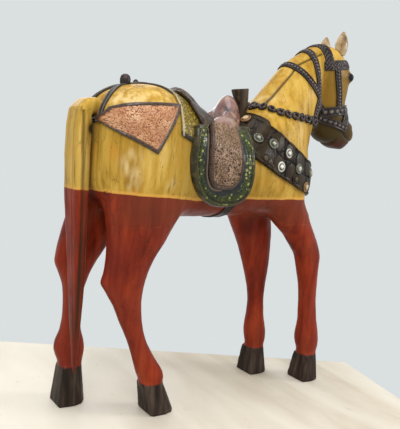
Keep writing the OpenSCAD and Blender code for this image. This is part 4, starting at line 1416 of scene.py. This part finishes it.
def make_studs():
    """Studs on both sides of the collar and on the breast, one object for each material."""
    # The studs' undersides lie this deep in the collar, in mm over the figure.
    seat = 6.5
    groups = {}
    for (x, z), size, kind, material in STUDS:
        for _, side in SIDES:
            place, outward = surface_frame(SKIN.on_side(x * MM, z * MM, side))
            mesh = stud_mesh(place + outward * seat * MM, outward, size, kind)
            groups.setdefault(material, []).append(mesh)
    for angle, shift in FRONT_STUDS:
        hit = SKIN.ring(COLLAR_BACK, COLLAR_FRONT, [float(shift)], [angle])[0, 0]
        place, outward = surface_frame(hit)
        mesh = stud_mesh(place + outward * seat * MM, outward, 11.5, "rosette")
        groups["boss_silver_green"].append(mesh)
    for material, meshes in groups.items():
        nodes = ["collar_bosses"] if material == "boss_silver_green" else []
        add_object(f"studs_{material}", joined(meshes), material, "boss_silver_green", *nodes)


# ---------------------------------------------------------------- reins and bridle

# The line of the rein's rings, as [x, z] in mm; the first ring is a little larger.
REIN = [(46, 671), (76, 659), (112, 655), (148, 653), (184, 651), (221, 646)]
REIN_RINGS = 12
RING_RADIUS, FIRST_RADIUS, RING_THICKNESS = 10.4, 11.2, 3.5


def ring_mesh(place, outward, ahead, outer, tilt):
    """One carved ring, a little lumpy, leaning on the surface."""
    tube = RING_THICKNESS
    outward = outward.normalized()
    ahead = (ahead - outward * ahead.dot(outward)).normalized()
    turned = Matrix((ahead, outward.cross(ahead), outward)).transposed()
    turned = turned @ Matrix.Rotation(tilt, 3, "Y")
    around, section = 30, 12
    verts, lift = [], []
    for a in 2 * pi * np.arange(around) / around:
        lump = 1 + 0.10 * cos(3 * a + tilt * 9)
        for b in 2 * pi * np.arange(section) / section:
            radius = outer - tube + tube * lump * cos(b)
            local = Vector((radius * cos(a) * 1.08, radius * sin(a), tube * lump * sin(b)))
            verts.append(place + turned @ (local * MM))
            # Painted light and shade: a painted highlight on the ring's outer top, in lumps round it.
            lift.append(0.30 + 0.45 * max(0.0, sin(b)) * (0.6 + 0.4 * cos(5 * a)))
    ids = np.arange(around * section).reshape(around, section)
    following = np.roll(ids, -1, 0)
    faces = quads(ids, following, np.roll(following, -1, 1), np.roll(ids, -1, 1))
    mesh = bpy.data.meshes.new("ring")
    mesh.from_pydata(verts, [], faces)
    keep_value(mesh, "lift", lift)
    return mesh


def make_reins():
    """A chain of carved rings on each side, evenly spaced along the surface."""
    line, _ = path_points(REIN, 1.0)
    run = run_length(np.array([SKIN.on_side(x * MM, z * MM, 1) for x, z in line]))
    places = even_points(line, run, np.linspace(0, run[-1], REIN_RINGS))
    for name, side in SIDES:
        meshes = []
        for k, (x, z) in enumerate(places):
            step = places[min(k + 1, REIN_RINGS - 1)] - places[max(k - 1, 0)]
            place, outward = surface_frame(SKIN.on_side(x * MM, z * MM, side))
            meshes.append(ring_mesh(
                place + outward * 3.6 * MM, outward, Vector((step[0], 0, step[1])),
                FIRST_RADIUS if k == 0 else RING_RADIUS, 0.26 if k % 2 else -0.18))
        add_object(f"carved_rein_{name}", joined(meshes), "strap_dark", "strap_dark",
                   f"rein_chain_{name}")


def make_bridle():
    """The straps of neck and head, carved in relief; the places are [x, z] in mm."""
    straps = {
        "neck_strap_beaded": ring_strap((125, 799), (221, 708), 8.6, strap_relief),
        "throat_strap_beaded": ring_strap((196, 855), (219, 711), 8.8, strap_relief),
        "crown_strap_plaited": ring_strap((254, 784), (224, 876), 12, rope_relief, 140),
        "brow_band_plaited": ring_strap((240, 787), (366, 808), 12, rope_relief, 150),
        "nose_band_carved": ring_strap((236, 673), (366, 696), 11.5, strap_relief, 150,
                                       bead=17.0, thick=4.4),
        "cheek_straps_beaded": side_straps([(271, 798), (280, 760), (289, 730), (298, 686)], 9.6,
                                           strap_relief),
    }
    for name, mesh in straps.items():
        add_object(name, mesh, "strap_dark", "strap_dark", name.rsplit("_", 1)[0])
    bit = side_straps([(240, 664), (268, 656), (296, 650), (328, 643)], 9.0, strap_relief,
                      bead=14.0, thick=4.5)
    bars = side_straps([(330, 694), (328, 668), (318, 644)], 11.0, plain_relief, thick=4.5)
    throat = side_straps([(222, 704), (214, 684), (206, 658)], 9.0, strap_relief)
    add_object("bit_straps_carved", joined([bit, bars]), "strap_dark", "strap_dark", "bit_straps")
    add_object("throat_drop", throat, "strap_dark", "strap_dark")


# ---------------------------------------------------------------- everything together

# The slab's corners on the ground; only its back and right edges come into view.
SLAB = [(-0.873, 0.807), (0.454, -0.012), (0.236, -0.764), (-1.000, -0.620)]
SLAB_THICKNESS = 0.06


def make_floor():
    """A pale stone slab under the figure, its edges rounded off."""
    bm = bmesh.new()
    top = [bm.verts.new((x, y, 0)) for x, y in SLAB]
    bottom = [bm.verts.new((x, y, -SLAB_THICKNESS)) for x, y in SLAB]
    bm.faces.new(top)
    bm.faces.new(bottom[::-1])
    for k in range(4):
        bm.faces.new((top[k], top[(k + 1) % 4], bottom[(k + 1) % 4], bottom[k]))
    bmesh.ops.recalc_face_normals(bm, faces=bm.faces)
    bmesh.ops.bevel(bm, geom=bm.edges[:], offset=0.002, segments=2, affect="EDGES")
    mesh = bpy.data.meshes.new("floor")
    bm.to_mesh(mesh)
    bm.free()
    mesh.materials.append(MATERIALS["floor"])
    floor = bpy.data.objects.new("floor", mesh)
    bpy.context.scene.collection.objects.link(floor)


def paint_hidden_nodes():
    """Dowels and pegs stay as the CAD has them, in bare wood."""
    for name in INNER + ["tail_peg", "ear_pegs", "saddle_pegs"]:
        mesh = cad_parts[name].data
        mesh.materials.clear()
        mesh.materials.append(MATERIALS["bare_wood"])


make_camera()
make_studio()
MATERIALS = make_materials()
make_floor()
paint_hidden_nodes()
figure = carve_figure()
SKIN = Skin(figure)
make_carved_pieces(figure)
make_tail()
make_ears()
make_cloth()
make_flaps()
make_saddle()
make_girth()
make_rump_panels()
make_crupper()
make_collar()
make_studs()
make_reins()
make_bridle()
